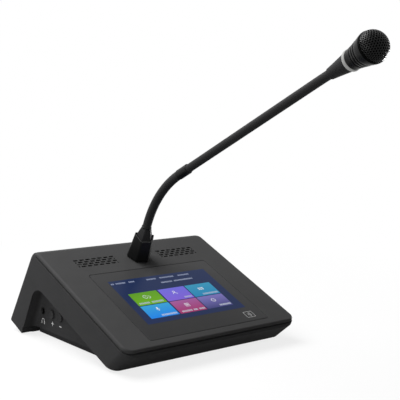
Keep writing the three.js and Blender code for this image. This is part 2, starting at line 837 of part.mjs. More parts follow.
const sleeveLength = sleeveBendLength / sleeveLinks;
const stepBend = sleeveBend / sleeveLinks;
const firstPivot = collarTop + sleeveFoot + sleeveLength / 2;
const ferruleStart = sleeveLength / 2;
const ferruleEnd = ferruleStart + ferruleLength;
const firstTubePivot = ferruleEnd + tubeStub;

addMesh(deck, 'neck_foot', revolve([
  [boreRadius, neckFootBottom],
  [sleeveRadius, neckFootBottom],
  ...ballEnd(firstPivot, sleeveRadius),
], smallSides).translate(0, bootCentreY, 0), sleeveRubber);

nextPivot(firstPivot, stepBend, 0, bootCentreY);
for (let link = 1; link < sleeveLinks; link += 1) {
  addMesh(carrier, `neck_sleeve_${link}`, revolve([
    ...cupEnd(sleeveRadius),
    ...ballEnd(sleeveLength, sleeveRadius),
  ], smallSides), sleeveRubber);
  nextPivot(sleeveLength, stepBend);
}

// The last sleeve link carries the ferrule and the foot of the ribbed tube
addMesh(carrier, `neck_sleeve_${sleeveLinks}`, revolve([
  ...cupEnd(sleeveRadius),
  [sleeveRadius, ferruleStart],
  [tubeRadius, ferruleStart],
  ...ballEnd(firstTubePivot, tubeRadius),
], smallSides), sleeveRubber);
addMesh(carrier, 'neck_ferrule', revolve([
  [tubeRadius + clearance, ferruleStart + clearance],
  [ferruleRadius, ferruleStart + clearance],
  [ferruleRadius, ferruleEnd],
  [tubeRadius + clearance, ferruleEnd],
]), blackPlastic);

nextPivot(firstTubePivot, 0);
for (let link = 1; link < tubeLinks; link += 1) {
  addMesh(carrier, `neck_tube_${link}`, revolve([
    ...cupEnd(tubeRadius),
    ...ribs(-cupLip, tubeLinkLength - shoulderDrop),
    ...ballEnd(tubeLinkLength, tubeRadius),
  ], ribSides), gooseneckMetal);
  const isLast = link + 1 === tubeLinks;
  nextPivot(tubeLinkLength, isLast ? headPitch : 0, isLast ? headYaw : 0);
}
const tubeEnd = tubeTip + tubeInsert;
addMesh(carrier, `neck_tube_${tubeLinks}`, revolve([
  ...cupEnd(tubeRadius),
  ...ribs(-cupLip, tubeEnd),
  [tubeRadius - ribDepth, tubeEnd],
  [boreRadius, tubeEnd],
], ribSides), gooseneckMetal);

// Microphone head, along the last link's axis from the end of the tube that shows
const head = new THREE.Group();
head.position.z = tubeTip;
carrier.add(head);
const ringStart = tailLength + clearance;
const barrelStart = tailLength + ringLength;
const ringEnd = barrelStart - clearance;
const barrelEnd = barrelStart + barrelLength;
const rimStart = barrelEnd + clearance;
const rimEnd = rimStart + rimLength;
const domeFloor = rimEnd + clearance;
const ledBore = ledBoardRadius + clearance;

addMesh(head, 'head_tail', revolve([
  [tubeRadius + clearance, 0],
  [tailRadius, 0],
  [tailWideRadius, tailLength],
  [tailWideRadius - headWall, tailLength],
  [tubeRadius + clearance, tubeInsert + clearance],
]), headMetal);
addMesh(head, 'light_ring', revolve([
  [ledBore, ringStart],
  [tailWideRadius, ringStart],
  [ringRadius, (ringStart + ringEnd) / 2],
  [barrelStartRadius, ringEnd],
  [ledBore, ringEnd],
]), lightPlastic);
addMesh(head, 'light_board', revolve([
  [ledBoardHoleRadius, ringStart],
  [ledBoardRadius, ringStart],
  [ledBoardRadius, ringStart + boardThickness],
  [ledBoardHoleRadius, ringStart + boardThickness],
]), circuitBoard);

function headBarrel() {
  const grooves = grooveRadii.flatMap((radius, index) => {
    const middle = barrelStart + grooveReach + index * groovePitch;
    return [
      [radius, middle - grooveWidth / 2],
      [radius - grooveDepth, middle - grooveWidth / 4],
      [radius - grooveDepth, middle + grooveWidth / 4],
      [radius, middle + grooveWidth / 2],
    ];
  });
  return revolve([
    [ledBore, barrelStart],
    [barrelStartRadius, barrelStart],
    ...grooves,
    [headRadius, barrelEnd],
    [headRadius - headWall, barrelEnd],
    [barrelStartRadius - headWall, barrelStart + grooveReach],
    [ledBore, barrelStart + headWall],
  ]);
}
addMesh(head, 'head_barrel', headBarrel(), headMetal);
addMesh(head, 'grille_rim', revolve([
  [headRadius - headWall, rimStart],
  [headRadius, rimStart],
  [headRadius, rimEnd],
  [headRadius - headWall, rimEnd],
]), blackPlastic);

// A domed shell that stands on the rim
function dome(inset, thickness) {
  const surface = (depth) => arc(0, 0, 1, 0, quarterTurn, domeSteps).map(([radiusShare, heightShare]) => [
    (domeRadius - depth) * radiusShare, domeFloor + (domeHeight - depth) * heightShare]);
  const outer = surface(inset);
  const inner = surface(inset + thickness);
  outer.at(-1)[0] = 0;
  inner.at(-1)[0] = 0;
  return revolve([...inner.reverse(), ...outer]);
}
addMesh(head, 'grille_dome', dome(0, domeWall), meshMetal);
addMesh(head, 'windscreen_foam', dome(domeWall + clearance, foamWall), foam);

addMesh(head, 'capsule_plate', revolve([
  [capsuleRadius + clearance, rimStart],
  [headRadius - headWall - clearance, rimStart],
  [headRadius - headWall - clearance, rimEnd],
  [capsuleRadius + clearance, rimEnd],
]), blackPlastic);
addMesh(head, 'capsule', rod(capsuleRadius, rimEnd - capsuleLength, rimEnd, 0, 0, roundSides), steel);

// Microphone cable through the bore, from the socket to the capsule
function microphoneCable() {
  unit.updateMatrixWorld(true);
  const fromWorld = deck.matrixWorld.clone().invert();
  const place = (object, z) => new THREE.Vector3(0, 0, z)
    .applyMatrix4(object.matrixWorld).applyMatrix4(fromWorld);
  const bends = pivots.flatMap((pivot, index) => {
    const straight = index < sleeveLinks ? 0 : cableEase;
    const before = index < sleeveLinks ? [] : [place(pivots[index - 1], pivot.position.z - straight)];
    return [...before, place(pivot, straight)];
  });
  const path = new THREE.CatmullRomCurve3([
    new THREE.Vector3(0, bootCentreY, neckFootBottom),
    new THREE.Vector3(0, bootCentreY, firstPivot - sleeveLength),
    ...bends,
    place(head, rimEnd - capsuleLength - clearance),
  ], false, 'centripetal');
  const section = new THREE.Shape(polygon(cableSides, cableRadius).map(([x, y]) => new THREE.Vector2(x, y)));
  return new THREE.ExtrudeGeometry(section, { steps: cableSteps, bevelEnabled: false, extrudePath: path });
}
addMesh(deck, 'microphone_cable', microphoneCable(), sleeveRubber);

// Volume buttons, their switches, the headphone jack and the board that carries them
function volumeButton(y) {
  return join(
    crossRod(buttonRadius, -bodyHalfWidth - buttonProud, flangeX + buttonFlange, y, controlHeight),
    crossRod(buttonFlangeRadius, flangeX, flangeX + buttonFlange, y, controlHeight),
    crossRod(switchPlungerRadius, flangeX, stemX, y, controlHeight),
  );
}
function volumeSwitch(y) {
  const half = switchSize / 2;
  return join(
    block(switchX, switchX + switchBody, y - half, y + half, controlHeight - half, controlHeight + half),
    crossRod(switchPlungerRadius, plungerX, switchX + switchBody / 2, y, controlHeight),
  );
}
for (const [name, y] of [['up', upButtonY], ['down', downButtonY]]) {
  addMesh(unit, `volume_${name}_button`, volumeButton(y), blackPlastic);
  addMesh(unit, `volume_${name}_switch`, volumeSwitch(y), steel);
}

addMesh(unit, 'headphone_jack', cut(
  join(
    crossRod(jackRadius, -bodyHalfWidth + clearance, flangeX + clearance, jackY, controlHeight),
    block(
      flangeX, sideBoardX - clearance, jackY - jackBodyWidth / 2, jackY + jackBodyWidth / 2,
      controlHeight - jackBodyWidth / 2, controlHeight + jackBodyWidth / 2,
    ),
  ),
  crossRod(jackBoreRadius, -halfWidth, sideBoardX, jackY, controlHeight),
), blackPlastic);

addMesh(unit, 'side_board', cut(
  block(
    sideBoardX, sideBoardX + boardThickness,
    sideBoardPosts[0] - sideBoardMargin, sideBoardPosts[1] + sideBoardMargin,
    controlHeight - sideBoardHeight / 2, controlHeight + sideBoardHeight / 2,
  ),
  ...sideBoardPosts.map((y) => crossRod(
    bossHoleRadius, sideBoardX - overrun, sideBoardX + overrun, y, controlHeight)),
  crossRod(jackBoreRadius, sideBoardX - overrun, sideBoardX + overrun, jackY, controlHeight),
), circuitBoard);

// Network sockets on their board, behind windows in the rear face
const networkFront = socketFace - networkBoardDepth;
const networkPosts = fourCorners(
  networkBoardWidth / 2 - boardHoleInset,
  networkFront + boardHoleInset,
  socketFace - socketLength + boardHoleInset,
);

function networkSocket() {
  const half = socketWidth / 2;
  const mouthBack = socketFace - socketMouthDepth;
  const mouthTop = portBottom + socketHeight - socketWall;
  return cut(
    block(-half, half, socketFace - socketLength, socketFace, portBottom, portBottom + socketHeight),
    block(
      -half + 2 * socketWall, half - 2 * socketWall, mouthBack, socketFace + overrun,
      portBottom + socketWall, mouthTop - latchHeight,
    ),
    block(
      -latchWidth / 2, latchWidth / 2, mouthBack, socketFace + overrun, portBottom + socketWall, mouthTop),
  );
}
for (const side of bothSides) {
  addMesh(unit, `network_socket_${sideNames[side]}`, networkSocket()
    .translate(side * socketSpacing / 2, 0, 0), steel);
}
addMesh(unit, 'network_board', cut(
  block(
    -networkBoardWidth / 2, networkBoardWidth / 2, networkFront, socketFace - wall - clearance,
    networkBoardHeight, networkBoardHeight + boardThickness,
  ),
  ...networkPosts.map(([x, y]) => rod(
    bossHoleRadius, networkBoardHeight - overrun, networkBoardHeight + overrun, x, y)),
), circuitBoard);

// Base plate with its board posts, screws and recessed feet
const plateFloor = footStand + basePlateFloor;
const postRoot = footStand + basePlateFloor / 2;
const footPlaces = fourCorners(
  plateHalfWidth - footInset, basePlateFront + footInset, basePlateBack - footInset);
const screwSeat = footStand + screwHeadHeight;

const plateOutline = (inset) => roundedRectangle(
  -plateHalfWidth + inset, plateHalfWidth - inset,
  basePlateFront + inset, basePlateBack - inset, basePlateRadius,
);

addMesh(unit, 'base_plate', cut(
  join(
    cut(
      prism(plateOutline(0), footStand, plateHigh),
      prism(plateOutline(wall), plateFloor, plateHigh + overrun),
    ),
    ...baseScrewPlaces.map(([x, y]) => rod(baseBossRadius, postRoot, plateHigh, x, y)),
    ...networkPosts.map(([x, y]) => stake(networkBoardHeight - clearance - postRoot, boardThickness)
      .translate(x, y, postRoot)),
  ),
  ...baseScrewPlaces.flatMap(([x, y]) => [
    rod(bossHoleRadius, footStand - overrun, plateHigh + overrun, x, y),
    rod(screwHeadRadius + clearance, footStand - overrun, screwSeat + clearance, x, y),
  ]),
  ...footPlaces.map(([x, y]) => rod(
    footRadius + clearance, footStand - overrun, footThickness + clearance, x, y, roundSides)),
), basePlastic);
baseScrewPlaces.forEach(([x, y], index) => addMesh(unit, `base_screw_${index + 1}`,
  screw(baseScrewLength).translate(x, y, screwSeat), steel));
footPlaces.forEach(([x, y], index) => addMesh(unit, `rubber_foot_${index + 1}`,
  rod(footRadius, 0, footThickness, x, y, roundSides), footRubber));

// The origin lies on the table, under the middle of the whole object
const bounds = new THREE.Box3().setFromObject(unit, true);
unit.position.set(
  -(bounds.min.x + bounds.max.x) / 2,
  -(bounds.min.y + bounds.max.y) / 2,
  -bounds.min.z,
);

export default unit;
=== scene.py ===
import math

import bmesh
import bpy
from mathutils import Matrix, Vector


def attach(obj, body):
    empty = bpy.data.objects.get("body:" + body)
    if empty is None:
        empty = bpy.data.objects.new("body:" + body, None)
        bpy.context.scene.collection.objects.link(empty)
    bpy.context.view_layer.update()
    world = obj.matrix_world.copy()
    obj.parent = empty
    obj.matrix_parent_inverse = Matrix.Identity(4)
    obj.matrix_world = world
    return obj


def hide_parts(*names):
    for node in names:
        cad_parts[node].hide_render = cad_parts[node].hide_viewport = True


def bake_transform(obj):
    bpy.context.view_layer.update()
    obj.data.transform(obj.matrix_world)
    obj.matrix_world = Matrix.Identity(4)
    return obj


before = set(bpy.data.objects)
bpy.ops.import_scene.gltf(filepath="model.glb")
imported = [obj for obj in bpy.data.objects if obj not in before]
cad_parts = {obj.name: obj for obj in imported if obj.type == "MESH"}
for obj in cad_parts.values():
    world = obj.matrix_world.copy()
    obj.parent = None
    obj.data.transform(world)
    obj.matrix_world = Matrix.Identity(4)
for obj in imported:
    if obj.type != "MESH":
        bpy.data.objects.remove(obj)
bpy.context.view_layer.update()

QUARTER = math.pi / 2
HALF = math.pi
FULL = 2 * math.pi

# Frames: the unit stands level, and the deck is the tilted panel with its surface at height zero
MM = 0.001
MILLIMETRES = Matrix.Scale(MM, 4)
UNIT = Matrix.Translation((0, 0.059109, 0)) @ MILLIMETRES
PANEL_TILT = math.radians(22.4)
LIFT = Matrix.Translation((0, 0, 50.173))
TILT = Matrix.Rotation(PANEL_TILT, 4, "X")
DECK = UNIT @ LIFT @ TILT
UNIT_TO_DECK = (LIFT @ TILT).inverted()
ALONG_MINUS_X = Matrix.Rotation(-QUARTER, 4, "Y")

# Panel and housing sizes
HALF_WIDTH = 94.5
HALF_DEPTH = 75
COVER_THICKNESS = 5
SEAM_START = 2.7
SEAM_DEPTH = 0.9
LIP_TOP = -4.1
FRONT_ROUND = 1.3
COVER_INSET = 0.6
EDGE_ROUND = 2.5
FRONT_CORNER = 9
BACK_CORNER = 5
REAR_REACH = 7.6
REAR_ROUND = 9
REAR_SLOPE = 0.1425
HOUSING_TOP = -5.4
SLAB_DEPTH = 26.9
FRONT_FACE_DEPTH = 7
FRONT_UNDERCUT = 10.7
LEG_DROP = 81.43
LEG_INNER_REACH = 68
LEG_LEAN = 3.7 / (LEG_DROP - SLAB_DEPTH)
RECESS_WALL = 82.4
RECESS_CORNER = 14
RECESS_FILLET = 4
BODY_ROOM = 74.4
FOOT_STAND = 0.8
WALL = 2.5
FAR = 150

# Glass, speaker grilles and microphone foot on the panel
GLASS_HALF_WIDTH = 65.5
GLASS_FRONT = -66.6
GLASS_BACK = 31
GLASS_CORNER = 2.5
GLASS_THICKNESS = 1.8
GLASS_GAP = 0.4
GLASS_RECESS = 2.1
GLASS_LEDGE = 3
CUT_DEPTH = 9
SLOT_RUN = 1.6
SLOT_RADIUS = 0.78
GRILLE_X = 45.6
GRILLE_Y = 50.4
BOOT_Y = 49.5
HEX_TURN = math.radians(43.4)
RIM_HEIGHT = 24.9
RIM_SLANT = math.radians(26)
RIM_FACING = math.radians(64.5)
NECK_BORE = 4.2

# Screen, whose layers lie one above the other on the glass
SCREEN_HALF_WIDTH = 54
SCREEN_LOW = -47
SCREEN_HIGH = 17.8
PICTURE_HEIGHT = -0.015
TILE_HEIGHT = 0.03
MARK_HEIGHT = 0.06
LAYER = 0.02

# Controls in the left recess, and the network sockets in the rear wall
CONTROL_HEIGHT = 23.3
JACK_Y = 76.3
UP_Y = 60.6
DOWN_Y = 46.8
JACK_HOLE = 3.3
KEY_HOLE = 4.3
SIGN_HEIGHT = 15
HEADPHONE_HEIGHT = 14.3
SOCKET_X = 12

# Gooseneck
SLEEVE_RADIUS = 4.1
SLEEVE_LINK = 11.1
SLEEVE_STEP = math.radians(6.75)
SLEEVE_RIBS = 9
FIRST_PIVOT = 41.75
FERRULE_START = 5.55
FERRULE_END = 19.75
FIRST_TUBE_PIVOT = 23.75
TUBE_RADIUS = 3.68
TUBE_LINK = 41
TUBE_RIB = 1.4
TUBE_BEND = 8
NECK_SIDES = 32
RIB_STEPS = 6
HEAD_START = 9


# Node trees, whose inputs are plain values, figures, single outputs, or nodes by their first output
def feed(made, inputs):
    for key, value in inputs.items():
        if isinstance(value, Figure):
            value = value.socket
        elif isinstance(value, bpy.types.Node):
            value = next(output for output in value.outputs if output.enabled)
        if isinstance(value, bpy.types.NodeSocket):
            made.id_data.links.new(value, made.inputs[key])
        else:
            made.inputs[key].default_value = value
    return made


def node(tree, kind, inputs=None, **settings):
    made = tree.nodes.new(kind)
    for key, value in settings.items():
        setattr(made, key, value)
    return feed(made, inputs or {})


def calculated(operation, *values):
    tree = next(value.socket.id_data for value in values if isinstance(value, Figure))
    return Figure(node(tree, "ShaderNodeMath", dict(enumerate(values)), operation=operation).outputs[0])


# A value in a node tree, which takes part in formulas as a plain number does
class Figure:
    def __init__(self, socket):
        self.socket = socket

    def __add__(self, other):
        return calculated("ADD", self, other)

    def __sub__(self, other):
        return calculated("SUBTRACT", self, other)

    def __rsub__(self, other):
        return calculated("SUBTRACT", other, self)

    def __mul__(self, other):
        return calculated("MULTIPLY", self, other)

    def __truediv__(self, other):
        return calculated("DIVIDE", self, other)


def figures(made):
    return {output.name: Figure(output) for output in made.outputs}


def position_in(tree):
    place = node(tree, "GeometryNodeInputPosition")
    return figures(node(tree, "ShaderNodeSeparateXYZ", {0: place})).values()


# A tree with the named sizes as inputs, and a finish after them: the tree, its geometry and each input
def geometry_tree(name, sizes):
    tree = bpy.data.node_groups.new(name, "GeometryNodeTree")
    inputs = {"Geometry": "Geometry", **sizes, "Finish": "Material"}
    for label, kind in inputs.items():
        tree.interface.new_socket(label, in_out="INPUT", socket_type="NodeSocket" + kind)
    tree.interface.new_socket("Geometry", in_out="OUTPUT", socket_type="NodeSocketGeometry")
    given = figures(tree.nodes.new("NodeGroupInput"))
    return tree, *[given[label] for label in inputs]


def close_tree(tree, geometry, finish):
    realized = node(tree, "GeometryNodeRealizeInstances", {"Geometry": geometry})
    painted = node(tree, "GeometryNodeSetMaterial", {"Geometry": realized, "Material": finish})
    node(tree, "NodeGroupOutput", {0: painted})
    return tree


def run_tree(obj, tree, values):
    modifier = obj.modifiers.new(tree.name, "NODES")
    modifier.node_group = tree
    for item in tree.interface.items_tree:
        if item.in_out == "INPUT" and item.name in values:
            modifier[item.identifier] = values[item.name]


def instances(tree, points, template, **settings):
    source = node(tree, "GeometryNodeObjectInfo", {"Object": template})
    return node(tree, "GeometryNodeInstanceOnPoints", {
        "Points": points, "Instance": source.outputs["Geometry"], **settings})


def placed(tree, geometry, x, y, z):
    position = node(tree, "ShaderNodeCombineXYZ", {"X": x, "Y": y, "Z": z})
    return node(tree, "GeometryNodeSetPosition", {"Geometry": geometry, "Position": position})


# Instances of one template on every point of a mesh
def copies_tree():
    tree, points, template, size, finish = geometry_tree("Copies on points", {
        "Template": "Object", "Size": "Float"})
    return close_tree(tree, instances(tree, points, template, Scale=size), finish)


# Staggered rows of slots: full rows, and rows shifted by half a pitch with a half slot at each end
def slots_tree():
    tree, _, template, columns, rows, pitch_x, pitch_y, end_x, end_scale, finish = geometry_tree(
        "Staggered slots", {"Template": "Object", "Columns": "Int", "Rows": "Int", "Pitch X": "Float",
                            "Pitch Y": "Float", "End X": "Float", "End Scale": "Float"})
    across = columns * pitch_x
    along = (rows - 1) * pitch_y
    grid = node(tree, "GeometryNodeMeshGrid", {
        "Size X": across, "Size Y": along, "Vertices X": columns + 1, "Vertices Y": rows})
    x, y, _ = position_in(tree)
    full = calculated("MODULO", calculated("ROUND", (y + along / 2) / pitch_y), 2)
    edge = calculated("GREATER_THAN", calculated("ABSOLUTE", x), across / 2 - pitch_x / 4)
    end = edge * (1 - full)
    beyond = full * (edge * calculated("GREATER_THAN", x, 0))
    moved = x + full * (pitch_x / 2)
    new_x = moved * (1 - end) + end_x * calculated("SIGN", x) * end
    kept = tree.nodes.new("GeometryNodeCaptureAttribute")
    for label, kind, value in (
            ("Place", "VECTOR", node(tree, "ShaderNodeCombineXYZ", {"X": new_x, "Y": y})),
            ("Scale", "VECTOR", node(tree, "ShaderNodeCombineXYZ", {
                "X": (1 - end) + end_scale * end, "Y": 1.0, "Z": 1.0})),
            ("Keep", "FLOAT", 1 - beyond)):
        kept.capture_items.new(kind, label)
        feed(kept, {label: value})
    feed(kept, {"Geometry": grid})
    spread = node(tree, "GeometryNodeSetPosition", {
        "Geometry": kept.outputs["Geometry"], "Position": kept.outputs["Place"]})
    return close_tree(tree, instances(
        tree, spread, template, Selection=kept.outputs["Keep"], Scale=kept.outputs["Scale"]), finish)


# A straight tube along Z whose wall swells in rounded ribs
def ribs_tree():
    tree, _, start, length, radius, pitch, depth, sides, steps, finish = geometry_tree(
        "Ribbed tube", {"Start": "Float", "Length": "Float", "Radius": "Float", "Pitch": "Float",
                        "Depth": "Float", "Sides": "Int", "Steps": "Int"})
    wall = node(tree, "GeometryNodeMeshCylinder", {
        "Vertices": sides, "Side Segments": calculated("ROUND", length / pitch) * steps,
        "Radius": 1.0, "Depth": length}, fill_type="NONE")
    x, y, z = position_in(tree)
    height = z + (start + length / 2)
    wave = calculated("ABSOLUTE", calculated("SINE", height * HALF / pitch))
    reach = radius - depth * (1 - wave)
    return close_tree(tree, placed(tree, wall, x * reach, y * reach, height), finish)


# A dome pressed from a flat sheet of staggered round holes: hexagonal cells, opened, then laid over the ball
def dome_tree():
    tree, _, radius, pitch, cells, flattening, hole_share, finish = geometry_tree("Perforated dome", {
        "Radius": "Float", "Pitch": "Float", "Cells": "Int", "Flattening": "Float", "Hole Share": "Float"})
    row_pitch = pitch * (math.sqrt(3) / 2)
    reach = cells - 1
    grid = node(tree, "GeometryNodeMeshGrid", {
        "Size X": reach * pitch, "Size Y": reach * row_pitch, "Vertices X": cells, "Vertices Y": cells})
    x, y, _ = position_in(tree)
    row = calculated("ROUND", y / row_pitch)
    stagger = calculated("FLOORED_MODULO", row, 2) * (pitch / 2)
    staggered = node(tree, "GeometryNodeSetPosition", {
        "Geometry": grid, "Offset": node(tree, "ShaderNodeCombineXYZ", {"X": stagger})})
    cell = node(tree, "GeometryNodeMeshCircle", {
        "Vertices": 6, "Radius": pitch / math.sqrt(3)}, fill_type="NGON")
    upright = node(tree, "FunctionNodeAxisAngleToRotation", {"Axis": (0, 0, 1), "Angle": math.radians(30)})
    spread_cells = node(tree, "GeometryNodeRealizeInstances", {0: node(tree, "GeometryNodeInstanceOnPoints", {
        "Points": staggered, "Instance": cell, "Rotation": upright})})
    sheet = node(tree, "GeometryNodeMergeByDistance", {"Geometry": spread_cells, "Distance": pitch / 20})
    split = node(tree, "GeometryNodeExtrudeMesh", {
        "Mesh": sheet, "Offset Scale": 0.0, "Individual": True}, mode="FACES")
    narrowed = node(tree, "GeometryNodeScaleElements", {
        "Geometry": split, "Selection": split.outputs["Top"], "Scale": hole_share})
    opened = node(tree, "GeometryNodeDeleteGeometry", {
        "Geometry": narrowed, "Selection": split.outputs["Top"]}, domain="FACE")
    run = Figure(node(tree, "ShaderNodeVectorMath", {
        0: node(tree, "ShaderNodeCombineXYZ", {"X": x, "Y": y})}, operation="LENGTH").outputs["Value"])
    angle = run / radius
    upper = node(tree, "GeometryNodeDeleteGeometry", {
        "Geometry": opened, "Selection": calculated("GREATER_THAN", angle, QUARTER)}, domain="FACE")
    spread = radius * calculated("SINE", angle) / calculated("MAXIMUM", run, 1e-6)
    height = calculated("MAXIMUM", calculated("COSINE", angle), 0.0) * (radius * flattening)
    return close_tree(tree, placed(tree, upper, x * spread, y * spread, height), finish)


# Finishes
def shader(name):
    finish = bpy.data.materials.new(name)
    finish.use_nodes = True
    tree = finish.node_tree
    tree.nodes.clear()
    surface = tree.nodes.new("ShaderNodeBsdfPrincipled")
    node(tree, "ShaderNodeOutputMaterial", {"Surface": surface})
    return finish, tree, surface


def solid_place(tree):
    return tree.nodes.new("ShaderNodeTexCoord").outputs["Object"]


def linear(colour):
    return tuple((v / 12.92 if v <= 0.04045 else ((v + 0.055) / 1.055) ** 2.4) for v in colour)


def shaded(colour, share):
    return [min(1.0, part * share) for part in colour]


# A value carried from one range into another
def ranged(tree, value, before, after=(0, 1)):
    return node(tree, "ShaderNodeMapRange", {
        "Value": value, "From Min": before[0], "From Max": before[1], "To Min": after[0], "To Max": after[1]})


# A ramp between two colours, each at its own value
def ramp_between(tree, value, *stops):
    ramp = node(tree, "ShaderNodeValToRGB", {0: value})
    for element, (position, colour) in zip(ramp.color_ramp.elements, stops):
        element.position = position
        element.color = [*colour, 1.0]
    return ramp


# A surface with a fine grain in relief, cloudy changes of colour, and a gloss that changes with both
def grained(name, colour, roughness, grain=0.35, depth=0.02, clouds=14, variation=0.08, metallic=0.0,
            specular=0.5, painted_glow=0.0):
    finish, tree, surface = shader(name)
    place = solid_place(tree)
    fine = node(tree, "ShaderNodeTexNoise", {
        "Vector": place, "Scale": 1 / (grain * MM), "Detail": 3.0, "Roughness": 0.6})
    broad = node(tree, "ShaderNodeTexNoise", {
        "Vector": place, "Scale": 1 / (clouds * MM), "Detail": 4.0, "Roughness": 0.55})
    mixed = node(tree, "ShaderNodeMix", {"Factor": 0.4, "A": broad, "B": fine})
    low, high = 0.3, 0.7
    base = linear(colour)
    ramp = ramp_between(tree, mixed, (low, shaded(base, 1 - variation)), (high, shaded(base, 1 + variation)))
    gloss = ranged(tree, mixed, (low, high), (max(0.02, roughness - 0.05), min(1.0, roughness + 0.05)))
    bump = node(tree, "ShaderNodeBump", {"Height": fine, "Strength": 0.6, "Distance": depth * MM})
    # A painted glow, where given, adds the surface colour as emitted light
    feed(surface, {
        "Base Color": ramp, "Roughness": gloss, "Normal": bump, "Metallic": metallic,
        "Specular IOR Level": specular, "Emission Color": ramp, "Emission Strength": painted_glow})
    return finish


# Threads of a woven cloth, or the cells of a foam, in relief, with painted shade in the hollows of the relief
# and painted light on its raised parts
def woven(name, colour, pitch, depth, cells=False):
    finish, tree, surface = shader(name)
    place = solid_place(tree)
    scale = 1 / (pitch * MM)
    if cells:
        relief = node(tree, "ShaderNodeTexVoronoi", {"Vector": place, "Scale": scale})
    else:
        across, along = [Figure(node(tree, "ShaderNodeTexWave", {"Vector": place, "Scale": scale / 20},
                                     bands_direction=direction).outputs["Fac"]) for direction in "XY"]
        relief = across * along
    base = linear(colour)
    # The colour follows the relief: painted shade darkens its hollows and painted light brightens its raised
    # parts
    ramp = ramp_between(tree, relief, (0, shaded(base, 0.4)), (1, shaded(base, 1.3)))
    bump = node(tree, "ShaderNodeBump", {"Height": relief, "Strength": 0.9, "Distance": depth * MM})
    feed(surface, {"Base Color": ramp, "Normal": bump, "Roughness": 0.95, "Specular IOR Level": 0.1})
    return finish


# A lit area of the screen whose colour runs up the panel, behind the clear front of the glass
def lit(name, low_colour, high_colour, low, high):
    finish, tree, surface = shader(name)
    up = Vector((0, math.cos(PANEL_TILT), math.sin(PANEL_TILT)))
    height = node(tree, "ShaderNodeVectorMath", {0: solid_place(tree), 1: up}, operation="DOT_PRODUCT")
    start = DECK.translation.dot(up)
    share = ranged(tree, height, (start + low * MM, start + high * MM))
    ramp = ramp_between(tree, share, (0, linear(low_colour)), (1, linear(high_colour)))
    dim = node(tree, "ShaderNodeMix", {"Factor": 0.7, "A": ramp, "B": (0, 0, 0, 1)}, data_type="RGBA")
    feed(surface, {
        "Base Color": dim, "Roughness": 0.3, "Specular IOR Level": 0.05, "Emission Color": ramp,
        "Emission Strength": 0.62})
    return finish


PANEL = grained("panel_plastic", (0.212, 0.212, 0.213), 0.5, specular=0.02)
HOUSING = grained("housing_plastic", (0.195, 0.195, 0.197), 0.52, specular=0.014)
GLOSS_BLACK = grained("satin_black_plastic", (0.055, 0.057, 0.057), 0.34, grain=0.6, depth=0.008,
                      specular=0.15)
SLEEVE = grained("sleeve_rubber", (0.08, 0.08, 0.082), 0.62, grain=0.25, depth=0.05, specular=0.2)
TUBE = grained("gooseneck_coating", (0.14, 0.14, 0.142), 0.6, grain=0.3, depth=0.01, specular=0.06)
HEAD = grained("head_coating", (0.08, 0.08, 0.082), 0.32, grain=0.3, depth=0.008, specular=0.08)
# A light grey painted on the thin band at the boot's rim: a painted highlight of the rim's edge catching the
# light
PAINTED_RIM_HIGHLIGHT = grained("worn_edge", (0.3, 0.3, 0.3), 0.4, grain=0.4, depth=0.006, specular=0.1)
RIM = grained("rim_rubber", (0.02, 0.02, 0.02), 0.7, grain=0.3, depth=0.01, specular=0.02)
MESH = grained("perforated_metal", (0.055, 0.055, 0.056), 0.3, grain=0.4, depth=0.006, specular=0.13)
# The light ring's light grey is its own colour, and its glow is painted light standing in for the lamps'
# light on it
RING = grained("light_ring_plastic", (0.44, 0.44, 0.435), 0.5, grain=1.2, depth=0.004, variation=0.03,
               specular=0.1, painted_glow=0.9)
GLASS = grained("glass_print", (0.195, 0.195, 0.197), 0.4, grain=0.8, depth=0.002, variation=0.03,
                specular=0.02)
STEEL = grained("plated_steel", (0.62, 0.62, 0.63), 0.3, grain=0.5, depth=0.006, metallic=0.9)
GOLD = grained("gold_contacts", (0.86, 0.68, 0.34), 0.25, grain=0.3, depth=0.003, metallic=1.0)
BOARD = grained("circuit_board", (0.08, 0.31, 0.18), 0.45, grain=0.7, depth=0.02, clouds=5, variation=0.2)
RIBBON = grained("cable_film", (0.68, 0.48, 0.2), 0.35, grain=0.8, depth=0.01, clouds=3, variation=0.15)
PAD = grained("foot_rubber", (0.06, 0.06, 0.06), 0.85, grain=0.4, depth=0.06)
PRINT = grained("white_print", (0.8, 0.8, 0.8), 0.6, grain=0.3, depth=0.005, variation=0.03)
GREY_PRINT = grained("grey_print", (0.6, 0.6, 0.6), 0.6, grain=0.3, depth=0.005, variation=0.03)
CLOTH = woven("acoustic_cloth", (0.06, 0.06, 0.06), 0.35, 0.1)
FOAM = woven("windscreen_foam", (0.025, 0.025, 0.026), 0.8, 0.4, cells=True)
SCREEN = lit("screen_background", (0.09, 0.15, 0.3), (0.115, 0.17, 0.31), SCREEN_LOW, SCREEN_HIGH)
CAPTION = lit("screen_captions", (0.74, 0.77, 0.82), (0.56, 0.6, 0.71), SCREEN_LOW, SCREEN_HIGH)
ICONS = lit("screen_icons", (0.86, 0.87, 0.9), (0.86, 0.87, 0.9), SCREEN_LOW, SCREEN_HIGH)


# Shapes
def arc(centre_x, centre_y, radius, start, end, steps):
    angles = [start + (end - start) * step / steps for step in range(steps + 1)]
    return [(centre_x + radius * math.cos(angle), centre_y + radius * math.sin(angle)) for angle in angles]


def rounded_rectangle(low_x, high_x, low_y, high_y, front, back=None, steps=8):
    back = front if back is None else back
    return (arc(low_x + front, low_y + front, front, HALF, HALF + QUARTER, steps)
            + arc(high_x - front, low_y + front, front, -QUARTER, 0, steps)
            + arc(high_x - back, high_y - back, back, 0, QUARTER, steps)
            + arc(low_x + back, high_y - back, back, QUARTER, HALF, steps))


def ring_at(outline, height):
    return [(x, y, height) for x, y in outline]


